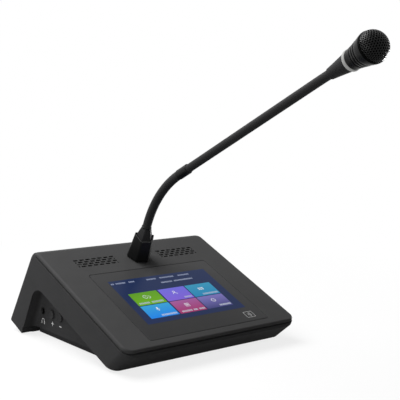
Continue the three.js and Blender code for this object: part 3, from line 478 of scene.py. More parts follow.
# A closed solid through rings of equal counts
def loft(rings):
    count = len(rings[0])
    points = [point for ring in rings for point in ring]
    faces = [tuple(reversed(range(count)))]
    for level in range(len(rings) - 1):
        low = level * count
        for corner in range(count):
            after = (corner + 1) % count
            faces.append((low + corner, low + after, low + count + after, low + count + corner))
    top = (len(rings) - 1) * count
    faces.append(tuple(range(top, top + count)))
    return points, faces


def prism(outline, low, high):
    return loft([ring_at(outline, low), ring_at(outline, high)])


def block(low_x, high_x, low_y, high_y, low_z, high_z):
    return prism([(low_x, low_y), (high_x, low_y), (high_x, high_y), (low_x, high_y)], low_z, high_z)


# A solid of revolution about Z from a closed outline of (radius, height) pairs
def lathe(outline, sides):
    points = []
    rows = []
    for radius, height in outline:
        count = sides if radius else 1
        first = len(points)
        rows.append([first + side % count for side in range(sides)])
        points += [(radius * math.cos(FULL * side / sides), radius * math.sin(FULL * side / sides), height)
                   for side in range(count)]
    faces = []
    for index, row in enumerate(rows):
        above = rows[(index + 1) % len(rows)]
        for side in range(sides):
            after = (side + 1) % sides
            corners = list(dict.fromkeys((row[side], row[after], above[after], above[side])))
            if len(corners) > 2:
                faces.append(tuple(corners))
    return points, faces


def joined(*shapes):
    points = []
    faces = []
    for more_points, more_faces in shapes:
        start = len(points)
        points += more_points
        faces += [tuple(start + index for index in face) for face in more_faces]
    return points, faces


def turned(shape, matrix):
    return [tuple(matrix @ Vector(point)) for point in shape[0]], shape[1]


def shifted(shape, x=0, y=0, z=0):
    return turned(shape, Matrix.Translation((x, y, z)))


# Pieces
def tidy(mesh, crease):
    work = bmesh.new()
    work.from_mesh(mesh)
    bmesh.ops.remove_doubles(work, verts=work.verts, dist=1e-7)
    bmesh.ops.recalc_face_normals(work, faces=work.faces)
    work.to_mesh(mesh)
    work.free()
    mesh.shade_smooth()
    mesh.set_sharp_from_angle(angle=math.radians(crease))


def draft(name, shape, place=DECK, finish=None):
    points, faces = shape
    mesh = bpy.data.meshes.new(name)
    mesh.from_pydata([place @ Vector(point) for point in points], [], faces)
    obj = bpy.data.objects.new(name, mesh)
    bpy.context.collection.objects.link(obj)
    tidy(mesh, 30)
    if finish:
        mesh.materials.append(finish)
    return obj


def bake(obj):
    graph = bpy.context.evaluated_depsgraph_get()
    mesh = bpy.data.meshes.new_from_object(obj.evaluated_get(graph))
    mesh.name = obj.name
    obj.modifiers.clear()
    obj.data = mesh


def soften(obj, width, segments=3, angle=40):
    bevel = obj.modifiers.new("Soft edges", "BEVEL")
    bevel.width = width * MM
    bevel.segments = segments
    bevel.limit_method = "ANGLE"
    bevel.angle_limit = math.radians(angle)
    bake(obj)


def combine(obj, others, operation="DIFFERENCE"):
    for other in others:
        step = obj.modifiers.new("Carve", "BOOLEAN")
        step.object = other
        step.operation = operation
        step.solver = "MANIFOLD"
    bake(obj)
    for other in others:
        bpy.data.objects.remove(other)


def settle(obj, body="base", covers=(), crease=30):
    tidy(obj.data, crease)
    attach(obj, body)
    if covers:
        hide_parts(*covers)


def piece(name, shape, finish, place=DECK, body="base", covers=(), edge=0.0):
    obj = draft(name, shape, place, finish)
    if edge:
        soften(obj, edge)
    settle(obj, body, covers)


COPIES = copies_tree()
SLOTS = slots_tree()
RIBS = ribs_tree()
DOME = dome_tree()


# One template placed on each of several points, as one plain mesh
def copies(name, template_shape, points, finish, covers=()):
    template = draft(name + "_template", template_shape, MILLIMETRES)
    obj = draft(name, (points, []), UNIT)
    run_tree(obj, COPIES, {"Template": template, "Size": 1.0, "Finish": finish})
    bake(obj)
    bpy.data.objects.remove(template)
    settle(obj, "base", covers)


# Panel
def rounded_inset(radius, height):
    over = max(0.0, radius + height)
    return radius - math.sqrt(max(0.0, radius ** 2 - over ** 2))


def back_at(height):
    straight = HALF_DEPTH + REAR_REACH + (HOUSING_TOP - height) * REAR_SLOPE
    return straight - rounded_inset(REAR_ROUND, height)


def cover_level(height, narrower=0):
    narrower = narrower + COVER_INSET
    inset = rounded_inset(EDGE_ROUND, height) + narrower
    return ring_at(rounded_rectangle(
        -HALF_WIDTH + inset, HALF_WIDTH - inset,
        -HALF_DEPTH + rounded_inset(FRONT_ROUND, height) + narrower, back_at(height) - narrower,
        FRONT_CORNER - inset, BACK_CORNER - narrower, 10), height)


# The cover stops short of the housing all round, over a narrower lip, so that a dark seam shows
def cover_body():
    levels = [-SEAM_START * (1 - math.sin(QUARTER * step / 14)) for step in range(15)]
    return loft([cover_level(-COVER_THICKNESS, SEAM_DEPTH), cover_level(-SEAM_START, SEAM_DEPTH)]
                + [cover_level(height) for height in levels])


def flared(outline_at, depth, chamfer=0.25):
    return loft([
        ring_at(outline_at(0), -depth), ring_at(outline_at(0), -chamfer),
        ring_at(outline_at(chamfer), 0), ring_at(outline_at(chamfer), 1)])


def slot_outline(grow):
    radius = SLOT_RADIUS + grow
    return (arc(SLOT_RUN, 0, radius, -QUARTER, QUARTER, 4)
            + arc(-SLOT_RUN, 0, radius, QUARTER, HALF + QUARTER, 4))


def glass_opening(grow):
    gap = GLASS_GAP
    return rounded_rectangle(
        -GLASS_HALF_WIDTH - gap - grow, GLASS_HALF_WIDTH + gap + grow,
        GLASS_FRONT - gap - grow, GLASS_BACK + gap + grow, GLASS_CORNER + gap)


def top_cover():
    cover = draft("panel_cover", cover_body(), DECK, PANEL)
    slot = draft("slot", flared(slot_outline, CUT_DEPTH), MILLIMETRES)
    cutters = [
        draft("recess", flared(glass_opening, GLASS_RECESS, 0.15)),
        draft("window", block(
            -GLASS_HALF_WIDTH + GLASS_LEDGE, GLASS_HALF_WIDTH - GLASS_LEDGE,
            GLASS_FRONT + GLASS_LEDGE, GLASS_BACK - GLASS_LEDGE, -CUT_DEPTH, 1)),
        draft("mouth", shifted(lathe([
            (0, -CUT_DEPTH), (NECK_BORE, -CUT_DEPTH), (NECK_BORE, 1), (0, 1)], 48), y=BOOT_Y))]
    for side in (-1, 1):
        field = draft(f"slots_{side}", ([], []), MILLIMETRES)
        run_tree(field, SLOTS, {
            "Template": slot, "Columns": 7, "Rows": 4, "Pitch X": 0.00635, "Pitch Y": 0.0033,
            "End X": 0.02064, "End Scale": 0.31, "Finish": PANEL})
        bake(field)
        field.data.transform(
            DECK @ Matrix.Translation((side * GRILLE_X, GRILLE_Y, 0)) @ MILLIMETRES.inverted())
        cutters.append(field)
    combine(cover, cutters)
    bpy.data.objects.remove(slot)
    settle(cover, "base", ["top_cover"])


top_cover()
piece("touch_front", loft([
    ring_at(rounded_rectangle(-GLASS_HALF_WIDTH + inset, GLASS_HALF_WIDTH - inset, GLASS_FRONT + inset,
                              GLASS_BACK - inset, GLASS_CORNER), height)
    for inset, height in ((0, -GLASS_THICKNESS), (0, -0.25), (0.08, -0.08), (0.25, -0.02))]),
    GLASS, covers=["touch_glass"])


# Screen
def flat(outline, height):
    return prism(outline, height, height + LAYER)


def bar(low_x, high_x, low_y, high_y, height=MARK_HEIGHT, radius=0.2):
    return flat(rounded_rectangle(low_x, high_x, low_y, high_y, radius, steps=3), height)


def band(centre_x, centre_y, inner, outer, start, end, height=MARK_HEIGHT):
    return flat(arc(centre_x, centre_y, outer, start, end, 24)
                + arc(centre_x, centre_y, inner, end, start, 24), height)


piece("screen_picture", flat(rounded_rectangle(
    -SCREEN_HALF_WIDTH, SCREEN_HALF_WIDTH, SCREEN_LOW, SCREEN_HIGH, 0.3, steps=2), PICTURE_HEIGHT), SCREEN)
TILE_COLUMNS = [(-46.3, -16.5), (-14.9, 14.3), (15.4, 44.6)]
TILE_ROWS = [(-21.8, -3.6), (-40.8, -22.7)]
# Each tile's colour at its lower and at its upper edge
TILE_COLOURS = {
    "green": ((0.4, 0.64, 0.08), (0.34, 0.57, 0.12)), "purple": ((0.47, 0.36, 0.8), (0.42, 0.4, 0.82)),
    "teal": ((0.12, 0.5, 0.68), (0.2, 0.56, 0.7)), "sky": ((0.07, 0.48, 0.86), (0.2, 0.6, 0.8)),
    "magenta": ((0.6, 0.17, 0.38), (0.6, 0.34, 0.58)), "violet": ((0.24, 0.25, 0.46), (0.46, 0.43, 0.7))}
tile_places = [(column, row) for row in TILE_ROWS for column in TILE_COLUMNS]
for (name, colours), (column, row) in zip(TILE_COLOURS.items(), tile_places):
    piece(f"screen_tile_{name}", bar(*column, *row, TILE_HEIGHT, 0.15), lit(f"screen_{name}", *colours, *row))


# Short bars side by side in one line, from each given start to its end
def short_bars(spans, middle, size=2.0):
    bars = []
    for start, end in spans:
        count = max(1, round((end - start) / 1.5))
        pitch = (end - start) / count
        bars += [bar(start + index * pitch, start + (index + 0.6) * pitch,
                     middle - size / 2, middle + size / 2, radius=0.25) for index in range(count)]
    return joined(*bars)


LABEL = 2.4
piece("screen_words", joined(
    short_bars([(-53, -49.8), (-48, -38), (-34.5, -28)], 13.4),
    short_bars([(-15, -4.6), (-0.5, 15.5), (20.4, 33.2)], 13.2),
    short_bars([(-3.4, 9), (11, 32.7)], 6.1),
    short_bars([(-44, -33), (-31, -18.4)], -18.9, LABEL),
    short_bars([(4.8, 13.3), (26, 43.6)], -19.1, LABEL),
    short_bars([(-33.7, -17.2)], -38.1, LABEL),
    short_bars([(-11.9, -0.5), (1, 5.5), (7.2, 13.8)], -38.3, LABEL),
    short_bars([(30.9, 44)], -38.1, LABEL)), CAPTION)


def screen_symbols():
    shapes = []
    # Two speech bubbles
    x, y = -31.5, -10.8
    shapes += [band(x - 1, y + 0.3, 2.0, 2.4, 0.5, FULL - 0.5), band(x + 2.2, y - 0.7, 1.4, 1.8, -2.3, 2.1),
               bar(x - 1.9, x, y + 0.1, y + 0.5)]
    # A figure with a raised hand
    x, y = -1, -11
    shapes += [band(x, y + 1.5, 0.8, 1.3, 0.001, FULL), band(x, y - 2.2, 1.9, 2.4, 0.15, HALF - 0.15),
               bar(x + 2.2, x + 3.4, y - 1.6, y - 1.2)]
    # A table of small squares
    x, y = 29.3, -11.2
    shapes += [bar(x - 2.9 + 2.1 * column, x - 1.4 + 2.1 * column, y + 0.4 - 1.9 * row, y + 1.7 - 1.9 * row,
                   radius=0.3) for column in range(3) for row in range(2)]
    # A microphone
    x, y = -32, -29.6
    shapes += [flat(rounded_rectangle(x - 0.75, x + 0.75, y - 0.4, y + 3, 0.7, steps=6), MARK_HEIGHT),
               band(x, y + 0.2, 1.3, 1.65, HALF, FULL), bar(x - 0.2, x + 0.2, y - 2.6, y - 1.5)]
    # A calendar
    x, y = -0.7, -30.2
    shapes += [bar(x - 2.3, x + 2.3, y + 1.7, y + 2.3), bar(x - 2.3, x - 1.9, y - 2, y + 1.6),
               bar(x + 1.9, x + 2.3, y - 2, y + 1.6), bar(x - 2.3, x + 2.3, y - 2.4, y - 2)]
    shapes += [bar(x - 1.4 + column, x - 0.9 + column, y - 1.4, y + 1) for column in range(3)]
    # A gear
    x, y = 29.6, -29.9
    shapes += [band(x, y, 1.6, 2.05, 0.001, FULL)]
    for index in range(8):
        tooth = turned(bar(2.1, 2.6, -0.35, 0.35), Matrix.Rotation(FULL * index / 8, 4, "Z"))
        shapes.append(shifted(tooth, x, y))
    return joined(*shapes)


piece("screen_symbols", screen_symbols(), ICONS)


# A small printed square with a card reader's waves, on the glass at the right
def reader_mark():
    x, y = 49.8, -57.6
    outer = rounded_rectangle(x - 4.9, x + 4.9, y - 4.1, y + 4.1, 0.9, steps=4)
    inner = rounded_rectangle(x - 4.5, x + 4.5, y - 3.7, y + 3.7, 0.6, steps=4)
    count = len(outer)
    points = ring_at(outer, 0.01) + ring_at(inner, 0.01)
    faces = [(index, (index + 1) % count, count + (index + 1) % count, count + index)
             for index in range(count)]
    waves = [band(x - 2.8, y, radius, radius + 0.4, -0.7, 0.7, 0) for radius in (1.6, 2.9, 4.2)]
    return joined((points, faces), *waves)


piece("reader_mark", reader_mark(), GREY_PRINT)


# Housing
def front_at(height):
    return -HALF_DEPTH + FRONT_UNDERCUT * max(0, -height - FRONT_FACE_DEPTH) / (SLAB_DEPTH - FRONT_FACE_DEPTH)


def housing_shape(levels, inset):
    return loft([ring_at(rounded_rectangle(
        -HALF_WIDTH + inset, HALF_WIDTH - inset, front_at(height) + inset, back_at(height) - inset,
        FRONT_CORNER - inset, BACK_CORNER - inset / 2, 10), height) for height in levels])


def leg_inside_at(height):
    return LEG_INNER_REACH - (height + LEG_DROP) * LEG_LEAN


def recess_cutter(side):
    lean = math.atan(LEG_LEAN)
    corner_y = leg_inside_at(-SLAB_DEPTH) - RECESS_CORNER * math.tan((QUARTER - lean) / 2)
    floor_height = -LEG_DROP - 12
    outline = ([(-140, floor_height), (leg_inside_at(floor_height), floor_height)]
               + arc(corner_y, -SLAB_DEPTH - RECESS_CORNER, RECESS_CORNER, lean, QUARTER, 14)
               + [(-140, -SLAB_DEPTH)])
    upright = Matrix(((0, 0, 1, 0), (1, 0, 0, 0), (0, 1, 0, 0), (0, 0, 0, 1)))
    shape = turned(prism(outline, RECESS_WALL, 130), upright)
    cutter = draft(f"recess_{side}", shape if side > 0 else turned(shape, Matrix.Scale(-1, 4, (1, 0, 0))))
    work = bmesh.new()
    work.from_mesh(cutter.data)
    wall = RECESS_WALL * MM
    edges = [edge for edge in work.edges if all(abs(abs(vert.co.x) - wall) < 1e-6 for vert in edge.verts)]
    bmesh.ops.bevel(work, geom=edges, offset=RECESS_FILLET * MM, segments=6, profile=0.5, affect="EDGES")
    work.to_mesh(cutter.data)
    work.free()
    return cutter


def level(shape):
    return turned(shape, UNIT_TO_DECK)


def along_x(radius, low, high, y, height):
    return shifted(turned(lathe([(0, low), (radius, low), (radius, high), (0, high)], 40),
                          Matrix.Rotation(QUARTER, 4, "Y")), y=y, z=height)


# A space inside the lower housing that keeps a wall all round and stays within the given limits
def hollow(name, *limits):
    space = draft(name, housing_shape([-LEG_DROP + WALL, -SLAB_DEPTH, -SLAB_DEPTH + WALL + 3], WALL))
    combine(space, [draft("limit", limit) for limit in limits], "INTERSECT")
    return space


def lower_housing():
    housing = draft("wedge_housing", housing_shape(
        [-LEG_DROP, -SLAB_DEPTH, -REAR_ROUND, -8, -FRONT_FACE_DEPTH, HOUSING_TOP, LIP_TOP], 0),
        DECK, HOUSING)
    under_table = draft("under_table", level(block(-200, 200, -200, 200, -200, FOOT_STAND)))
    combine(housing, [recess_cutter(-1), recess_cutter(1), under_table])
    soften(housing, 0.9, 4, 33)
    combine(housing, [
        draft("slab_hollow", housing_shape([-SLAB_DEPTH + WALL, -FRONT_FACE_DEPTH, 2], WALL)),
        hollow("body_hollow", block(-BODY_ROOM, BODY_ROOM, -FAR, FAR, -FAR, 5),
               level(block(-FAR, FAR, -34, FAR, 0, FAR))),
        hollow("leg_hollow", block(-FAR, FAR, LEG_INNER_REACH + WALL, FAR, -FAR, 5)),
        draft("base_pocket", level(block(-FAR, FAR, -34.4, 92.4, -5, 6.7)))])
    # A block behind the rear wall carries the mouths of both network sockets
    surround = draft("surround", level(block(-22.5, 22.5, 100.5, FAR, 14.6, 32.6)))
    combine(surround, [draft("rear_limit", housing_shape([-LEG_DROP, -SLAB_DEPTH], 0.5))], "INTERSECT")
    combine(housing, [surround], "UNION")
    windows = [draft("window", level(shifted(block(-8.3, 8.3, 0, FAR, 16.6, 30.7), side * SOCKET_X)))
               for side in (-1, 1)]
    holes = [draft("hole", level(along_x(radius, -100, -70, y, CONTROL_HEIGHT)))
             for radius, y in ((JACK_HOLE, JACK_Y), (KEY_HOLE, UP_Y), (KEY_HOLE, DOWN_Y))]
    combine(housing, windows + holes)
    settle(housing, "base", ["lower_housing"])


lower_housing()


# Controls, which stand in the left recess with their axes across the unit
def control(outline, sides, y):
    return shifted(turned(lathe(outline, sides), ALONG_MINUS_X), -RECESS_WALL, y, CONTROL_HEIGHT)


BUTTON = [(0, -4.4), (4, -4.4), (4, 1.1), (3.92, 1.4), (3.7, 1.58), (3.3, 1.6), (2.9, 1.3), (0, 1.1)]
for name, y in (("up", UP_Y), ("down", DOWN_Y)):
    piece(f"volume_{name}_cap", control(BUTTON, 48, y), HOUSING, UNIT, f"volume_{name}",
          [f"volume_{name}_button"])
JACK = [(2.3, -11), (3.1, -11), (3.1, 0), (2.95, 0.15), (2.8, 0.1), (2.3, -0.7)]
piece("headphone_surround", control(JACK, 40, JACK_Y), GLOSS_BLACK, UNIT, covers=["headphone_jack"])
SPRING = [(1.9, -9.5), (2.2, -9.5), (2.2, -4), (1.9, -3.8)]
piece("headphone_contact", control(SPRING, 32, JACK_Y), STEEL, UNIT)


# Flat signs on the recess wall, drawn with Y across and Z up
def on_wall(shape, y, height):
    facing = Matrix(((0, 0, -1, -RECESS_WALL), (-1, 0, 0, y), (0, 1, 0, height), (0, 0, 0, 1)))
    return turned(shape, facing)


piece("volume_signs", joined(
    on_wall(bar(-1.9, 1.9, -0.3, 0.3, 0), UP_Y - 0.6, SIGN_HEIGHT),
    on_wall(bar(-0.32, 0.32, -1.9, 1.9, 0.01), UP_Y - 0.6, SIGN_HEIGHT),
    on_wall(bar(-1.9, 1.9, -0.32, 0.32, 0), DOWN_Y, SIGN_HEIGHT)), PRINT, UNIT)
piece("headphone_sign", joined(
    on_wall(band(0, 0, 2.05, 2.4, 0, HALF, 0), JACK_Y, HEADPHONE_HEIGHT),
    *[on_wall(bar(side * 2.15 - 0.45, side * 2.15 + 0.45, -2.7, 0.1, 0.01, 0.3), JACK_Y, HEADPHONE_HEIGHT)
      for side in (-1, 1)]), PRINT, UNIT)


# Network sockets
def network_socket(side):
    name = "left" if side < 0 else "right"
    middle = side * SOCKET_X

    def box(label, *limits, finish=None):
        return draft(label, shifted(block(*limits), middle), UNIT, finish)

    shell = box(f"network_shield_{name}", -8, 8, 81, 102, 16.9, 30.4, finish=STEEL)
    soften(shell, 0.35)
    combine(shell, [box("mouth", -7.2, 7.2, 86.5, 105, 17.5, 29.8)])
    settle(shell, "base", [f"network_socket_{name}"])
    insert = box(f"network_insert_{name}", -7.1, 7.1, 86.6, 101.7, 17.6, 29.7, finish=GLOSS_BLACK)
    combine(insert, [box("step", -half_width, half_width, 88.6, 105, 18.4, top)
                     for half_width, top in ((5.9, 26.6), (3.25, 28.1), (1.7, 29.1))])
    settle(insert)
    bent = turned(block(-0.22, 0.22, 0, 4.4, -0.18, 0.18), Matrix.Rotation(math.radians(38), 4, "X"))
    contact = joined(block(-0.22, 0.22, -9, 0, -0.18, 0.18), bent)
    copies(f"network_contacts_{name}", contact,
           [(middle + 1.02 * (index - 3.5), 97, 19) for index in range(8)], GOLD)
    for label, place, colour in (("green", -5.6, (0.15, 0.5, 0.2)), ("amber", 5.6, (0.7, 0.5, 0.1))):
        piece(f"network_light_{name}_{label}", shifted(
            block(-1.2, 1.2, 100.4, 101.9, 27.4, 29.2), middle + place),
            grained(f"light_{name}_{label}", colour, 0.25, grain=1, depth=0.002), UNIT, edge=0.15)


network_socket(-1)
network_socket(1)

# Feet and screws below
FOOT = [(0, 0), (4.7, 0), (5.2, 0.15), (5.5, 0.5), (5.5, 1.6), (0, 1.6)]
FOOT_PLACES = [(side * 64.1, y, 0) for side in (-1, 1) for y in (-20, 78)]
copies("foot_pads", lathe(FOOT, 48), FOOT_PLACES, PAD, [f"rubber_foot_{index}" for index in range(1, 5)])


def cross_screw(length):
    outline = [(0, 1.3), (0.5, 1.3), (0.75, 0.1), (1.9, 0), (2.4, 0.35), (2.6, 0.9), (2.6, 1.6), (1.2, 1.6)]
    pitch = 0.8
    for index in range(int(length / pitch)):
        outline += [(1.2, 1.6 + pitch * index + 0.35), (1.0, 1.6 + pitch * index + 0.7)]
    return lathe(outline + [(0.9, 1.6 + length), (0, 1.6 + length)], 24)


SCREW_PLACES = [(side * 72.1, y, FOOT_STAND) for side in (-1, 1) for y in (-28, 86)]
copies("base_screws", cross_screw(8), SCREW_PLACES, STEEL, [f"base_screw_{index}" for index in range(1, 5)])


# Microphone foot
def hexagonal(levels):
    angles = [HEX_TURN + FULL * side / 6 for side in range(6)]
    return shifted(loft([[(radius * math.cos(angle), radius * math.sin(angle), height) for angle in angles]
                         for radius, height in levels]), y=BOOT_Y)


# All that lies below the boot's rim, which falls to the front and to the rear from a ridge between
def below_rim(lift=0.0):
    reach, top = 30, RIM_HEIGHT + lift
    low = top - reach * math.tan(RIM_SLANT)
    outline = [(-reach, -5), (reach, -5), (reach, low), (0, top), (-reach, low)]
    facing = Matrix.Rotation(RIM_FACING, 4, "Z") @ Matrix.Rotation(QUARTER, 4, "X")
    return draft("below_rim", shifted(turned(prism(outline, -reach, reach), facing), y=BOOT_Y))


def cavity(wider=0.0):
    return draft("cavity", hexagonal([(9.35 + wider, 15.5), (8.15 + wider, 30)]))


def hexagonal_piece(name, levels, finish, edge, covers, cutters, limit=None):
    obj = draft(name, hexagonal(levels), DECK, finish)
    soften(obj, edge, 4, 20)
    if limit:
        combine(obj, [limit], "INTERSECT")
    bore = draft("bore", shifted(lathe([(0, -3), (NECK_BORE, -3), (NECK_BORE, 40), (0, 40)], 40), y=BOOT_Y))
    combine(obj, [bore, *cutters])
    settle(obj, "base", covers)


hexagonal_piece("boot_shell", [(11.9, 0.3), (10.5, 15), (9, 30)], GLOSS_BLACK, 1.4, ["microphone_boot"],
                [cavity()], below_rim())
# The thin lighter band along the boot's rim is a painted highlight of its edge catching the light
hexagonal_piece("boot_line", [(11.75, 0.3), (10.35, 15), (8.9, 30)], PAINTED_RIM_HIGHLIGHT, 1.4, [],
                [cavity(0.5), below_rim(0.02)], below_rim(0.2))
hexagonal_piece("collar_shell", [(8.9, 12), (8.1, 22.5), (4.9, 31.6), (4.5, 32.2)], TUBE, 0.5,
                ["microphone_collar"], [])
SEAT = [(4.0, 31.4), (4.6, 31.4), (4.6, 32.5), (4.4, 32.7), (4.0, 32.6)]
piece("sleeve_seat", shifted(lathe(SEAT, 40), y=BOOT_Y), GLOSS_BLACK)

# Gooseneck: each link's turn at its pivot, and the reach to the next pivot
LINK_TURNS = [(SLEEVE_STEP, 0)] * 6 + [(0, 0)] * 4 + [(math.radians(4.4), math.radians(-7.7))]
LINK_REACHES = [SLEEVE_LINK] * 5 + [FIRST_TUBE_PIVOT] + [TUBE_LINK] * 4 + [HEAD_START]
BODIES = (["base"] + [f"neck_link_{index}" for index in range(1, 7)]
          + [f"tube_link_{index}" for index in range(1, 5)] + ["microphone_head"])
BEFORE = []
AFTER = []
travelling = DECK @ Matrix.Translation((0, BOOT_Y, FIRST_PIVOT))
for (pitch, yaw), reach in zip(LINK_TURNS, LINK_REACHES):
    BEFORE.append(travelling)
    AFTER.append(travelling @ Matrix.Rotation(pitch, 4, "X") @ Matrix.Rotation(yaw, 4, "Y"))
    travelling = AFTER[-1] @ Matrix.Translation((0, 0, reach))
HEAD_PLACE = travelling


# Points along Z are laid round the bend at a pivot, which takes up the given half span
def bend(points, before, after, half_span):
    start = before @ Vector((0, 0, -half_span))
    pivot = before.translation
    end = after @ Vector((0, 0, half_span))
    turn_before = before.to_3x3().normalized().to_quaternion()
    turn_after = after.to_3x3().normalized().to_quaternion()
    laid = []
    for x, y, z in points:
        if z <= -half_span:
            laid.append(before @ Vector((x, y, z)))
        elif z >= half_span:
            laid.append(after @ Vector((x, y, z)))
        else:
            share = (z + half_span) / (2 * half_span)
            centre = (1 - share) ** 2 * start + 2 * share * (1 - share) * pivot + share ** 2 * end
            turn = turn_before.slerp(turn_after, share)
            laid.append(centre + turn @ Vector((x, y, 0)) * MM)
    return laid, start, end


def jointed(name, joint, low, high, half_span, radius, pitch, depth, steps, finish, sides, covers):
    obj = draft(name, ([], []), MILLIMETRES)
    run_tree(obj, RIBS, {"Start": low, "Length": high - low, "Radius": radius, "Pitch": pitch,
                         "Depth": depth, "Sides": sides, "Steps": steps, "Finish": finish})
    bake(obj)
    laid, start, end = bend([tuple(vertex.co) for vertex in obj.data.vertices],
                            BEFORE[joint], AFTER[joint], half_span)
    for vertex, point in zip(obj.data.vertices, laid):
        vertex.co = point
    tidy(obj.data, 60)
    if covers:
        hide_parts(*covers)
    BODIES[joint + 1]
    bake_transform(obj)


HALF_LINK = SLEEVE_LINK / 2
HALF_TUBE = TUBE_LINK / 2
for joint in range(6):
    jointed(f"sleeve_run_{joint + 1}", joint, -16 if joint == 0 else -HALF_LINK, HALF_LINK, HALF_LINK,
            SLEEVE_RADIUS, SLEEVE_LINK / SLEEVE_RIBS, 0.12, RIB_STEPS, SLEEVE, NECK_SIDES,
            [f"neck_sleeve_{joint + 1}"] + (["neck_foot"] if joint == 0 else []))
for joint in range(6, 11):
    low = -FIRST_TUBE_PIVOT + FERRULE_START + 1 if joint == 6 else -HALF_TUBE
    high = HEAD_START + 4 if joint == 10 else HALF_TUBE
    jointed(f"tube_run_{joint - 5}", joint, low, high, TUBE_BEND, TUBE_RADIUS, TUBE_RIB, 0.1, RIB_STEPS, TUBE,
            NECK_SIDES, [f"neck_tube_{joint - 5}"])

# The cable inside the neck follows it link by link, from inside the microphone foot to the capsule
CABLE_REACHES = ([(-30, HALF_LINK)] + [(-HALF_LINK, HALF_LINK)] * 5
                 + [(-FIRST_TUBE_PIVOT + HALF_LINK, HALF_TUBE)] + [(-HALF_TUBE, HALF_TUBE)] * 3
                 + [(-HALF_TUBE, HEAD_START + 37)])
for joint, (low, high) in enumerate(CABLE_REACHES):
    jointed(f"cable_run_{joint + 1}", joint, low, high, HALF_LINK if joint < 6 else TUBE_BEND, 0.65, 2, 0.02,
            2, SLEEVE, 12, ["microphone_cable"] if joint == 0 else [])

FERRULE = [(3.7, FERRULE_START), (4.15, FERRULE_START), (4.5, FERRULE_START + 0.5),
           (4.5, FERRULE_END - 0.5), (4.2, FERRULE_END - 0.1), (3.7, FERRULE_END)]
piece("neck_ferrule_shell", lathe(FERRULE, 48), GLOSS_BLACK, AFTER[5], "neck_link_6", ["neck_ferrule"])


# Microphone head
def head_piece(name, outline, finish, covers):
    piece(name, lathe(outline, 72), finish, HEAD_PLACE, "microphone_head", covers)


head_piece("head_tail_shell", [
    (3.85, 0), (4.3, 0), (4.5, 0.2), (4.7, 1.8), (5.4, 7.5), (6.15, 13), (6.9, 18.4), (7.2, 20.8),
    (7.2, 21.3), (7.05, 21.4), (6.2, 21.4), (3.85, 5.3)], TUBE, ["head_tail"])
head_piece("light_ring_lens", [
    (5.9, 21.7), (7.6, 21.7), (8.0, 22.0), (8.2, 22.6), (8.25, 23.05), (8.2, 23.5), (8.05, 24.1),
    (7.8, 24.4), (5.9, 24.4)], RING, ["light_ring"])
BARREL = [(5.9, 24.7), (7.8, 24.7), (8.0, 24.9), (8.1, 26.5), (8.5, 29)]
for middle, radius in ((31.2, 8.85), (33.95, 9.45), (36.7, 10.1)):
    BARREL += [(radius, middle - 0.6), (radius - 0.1, middle - 0.42), (radius - 0.62, middle - 0.3),
               (radius - 0.62, middle + 0.3), (radius, middle + 0.42), (radius + 0.14, middle + 0.6)]
BARREL += [(10.9, 39.6), (11.6, 42.2), (11.9, 43.6), (11.95, 44), (10.8, 44), (7, 31), (5.9, 25.9)]
head_piece("head_barrel_shell", BARREL, HEAD, ["head_barrel"])
head_piece("grille_rim_band", [
    (10.8, 44.3), (11.8, 44.3), (12, 44.5), (12, 45.3), (11.85, 45.6), (11.3, 45.9), (10.8, 45.6)],
    RIM, ["grille_rim"])
dome = draft("grille_dome_mesh", ([], []), MILLIMETRES)
run_tree(dome, DOME, {"Radius": 0.0117, "Pitch": 0.0021, "Cells": 23, "Flattening": 0.93, "Hole Share": 0.7,
                      "Finish": MESH})
bake(dome)
thick = dome.modifiers.new("Sheet", "SOLIDIFY")
thick.thickness = 0.0005
thick.offset = -1
smooth = dome.modifiers.new("Round holes", "SUBSURF")
smooth.levels = 1
smooth.render_levels = 1
bake(dome)
dome.data.transform(HEAD_PLACE @ Matrix.Translation((0, 0, 45.7)) @ MILLIMETRES.inverted())
settle(dome, "microphone_head", ["grille_dome"], 50)


# A quarter round and the apex above it, on a flat foot
def quarter_round(radius, height, foot):
    angles = [QUARTER * step / 12 for step in range(12)]
    rise = [(radius * math.cos(angle), foot + height * math.sin(angle)) for angle in angles]
    return rise + [(0, foot + height)]


FOAM_WALL = 2.2
head_piece("foam_liner", quarter_round(10.7, 10, 45.9)
           + quarter_round(10.7 - FOAM_WALL, 10 - FOAM_WALL, 45.9)[::-1], FOAM, ["windscreen_foam"])

# Solids that keep their shape
for finish, names in (
        (HOUSING, "base_plate"), (SCREEN, "display_module"), (RIBBON, "display_ribbon"),
        (BOARD, "main_board side_board network_board light_board"),
        (CLOTH, "grille_cloth_left grille_cloth_right"),
        (GLOSS_BLACK, "speaker_left speaker_right microphone_socket capsule_plate"),
        (STEEL, "display_frame capsule volume_up_switch volume_down_switch "
                "display_screw_1 display_screw_2 display_screw_3 display_screw_4")):
    for name in names.split():
        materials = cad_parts[name].data.materials
        materials.clear()
        materials.append(finish)

# Stage: a pale floor that looks white further out, under a white surround
REACH = 6
floor_mesh = bpy.data.meshes.new("studio_floor")
floor_mesh.from_pydata([(-REACH, -REACH, 0), (REACH, -REACH, 0), (REACH, REACH, 0), (-REACH, REACH, 0)],
                       [], [(0, 1, 2, 3)])
floor = bpy.data.objects.new("studio_floor", floor_mesh)
bpy.context.collection.objects.link(floor)
finish, tree, surface = shader("studio_floor")
rays = figures(tree.nodes.new("ShaderNodeLightPath"))
seen = calculated("MAXIMUM", rays["Is Camera Ray"], rays["Is Transmission Ray"])
paleness = ranged(tree, seen, (0, 1), (0.32, 0.6))
grey = node(tree, "ShaderNodeCombineColor", {channel: paleness for channel in ("Red", "Green", "Blue")})
feed(surface, {"Base Color": grey, "Roughness": 0.9})
away = node(tree, "ShaderNodeVectorMath", {0: solid_place(tree)}, operation="LENGTH")
fade = ranged(tree, away, (0.25, 0.6), (0.8, 1))
mirrored_fade = ranged(tree, away, (0.12, 0.5), (0.3, 1))
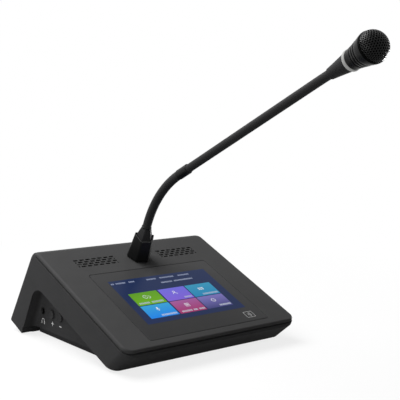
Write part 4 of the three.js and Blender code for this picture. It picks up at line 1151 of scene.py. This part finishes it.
whiteness = calculated("MAXIMUM", seen * fade, rays["Is Glossy Ray"] * mirrored_fade)
white = node(tree, "ShaderNodeEmission", {"Color": (1, 1, 1, 1), "Strength": 1.0})
feed(tree.nodes["Material Output"], {
    "Surface": node(tree, "ShaderNodeMixShader", {0: whiteness, 1: surface, 2: white})})
floor_mesh.materials.append(finish)

world = bpy.data.worlds.new("studio")
bpy.context.scene.world = world
world.use_nodes = True
sky = world.node_tree
sky.nodes.clear()
rays = figures(sky.nodes.new("ShaderNodeLightPath"))
seen = calculated("MAXIMUM", rays["Is Camera Ray"], calculated(
    "MAXIMUM", rays["Is Glossy Ray"], rays["Is Transmission Ray"]))
strength = ranged(sky, seen, (0, 1), (0.15, 1))
background = node(sky, "ShaderNodeBackground", {"Color": (1, 1, 1, 1), "Strength": strength})
node(sky, "ShaderNodeOutputWorld", {"Surface": background})


# Lights and camera
def softbox(name, place, target, size, power):
    lamp = bpy.data.lights.new(name, "AREA")
    lamp.shape = "RECTANGLE"
    lamp.size, lamp.size_y = size
    lamp.energy = power
    obj = bpy.data.objects.new(name, lamp)
    obj.visible_camera = False
    bpy.context.collection.objects.link(obj)
    aim = (Vector(target) - Vector(place)).to_track_quat("-Z", "Y")
    obj.matrix_world = Matrix.Translation(place) @ aim.to_matrix().to_4x4()


softbox("overhead_softbox", (-0.28, 0.4, 0.85), (0, 0.02, 0.06), (0.8, 0.7), 19)
softbox("left_softbox", (-1.1, -0.15, 0.22), (-0.05, 0.05, 0.03), (0.7, 0.4), 4.8)
softbox("right_softbox", (1.1, 0.15, 0.08), (0.09, 0, 0.05), (0.5, 0.12), 12)

CAMERA_PLACE = (-0.4822, -0.5516, 0.2193)
camera_data = bpy.data.cameras.new("camera")
camera_data.lens = 80.03
camera_data.sensor_width = 36
camera = bpy.data.objects.new("camera", camera_data)
bpy.context.collection.objects.link(camera)
heading, elevation, tilt = math.radians(-40.24), math.radians(-6.71), math.radians(1.39)
camera.matrix_world = (
    Matrix.Translation(CAMERA_PLACE) @ Matrix.Rotation(heading, 4, "Z")
    @ Matrix.Rotation(QUARTER + elevation, 4, "X") @ Matrix.Rotation(tilt, 4, "Z"))
bpy.context.scene.camera = camera

bpy.context.scene.view_settings.view_transform = "Standard"


def corners(box):
    return [[float(value) for value in corner] for corner in box]
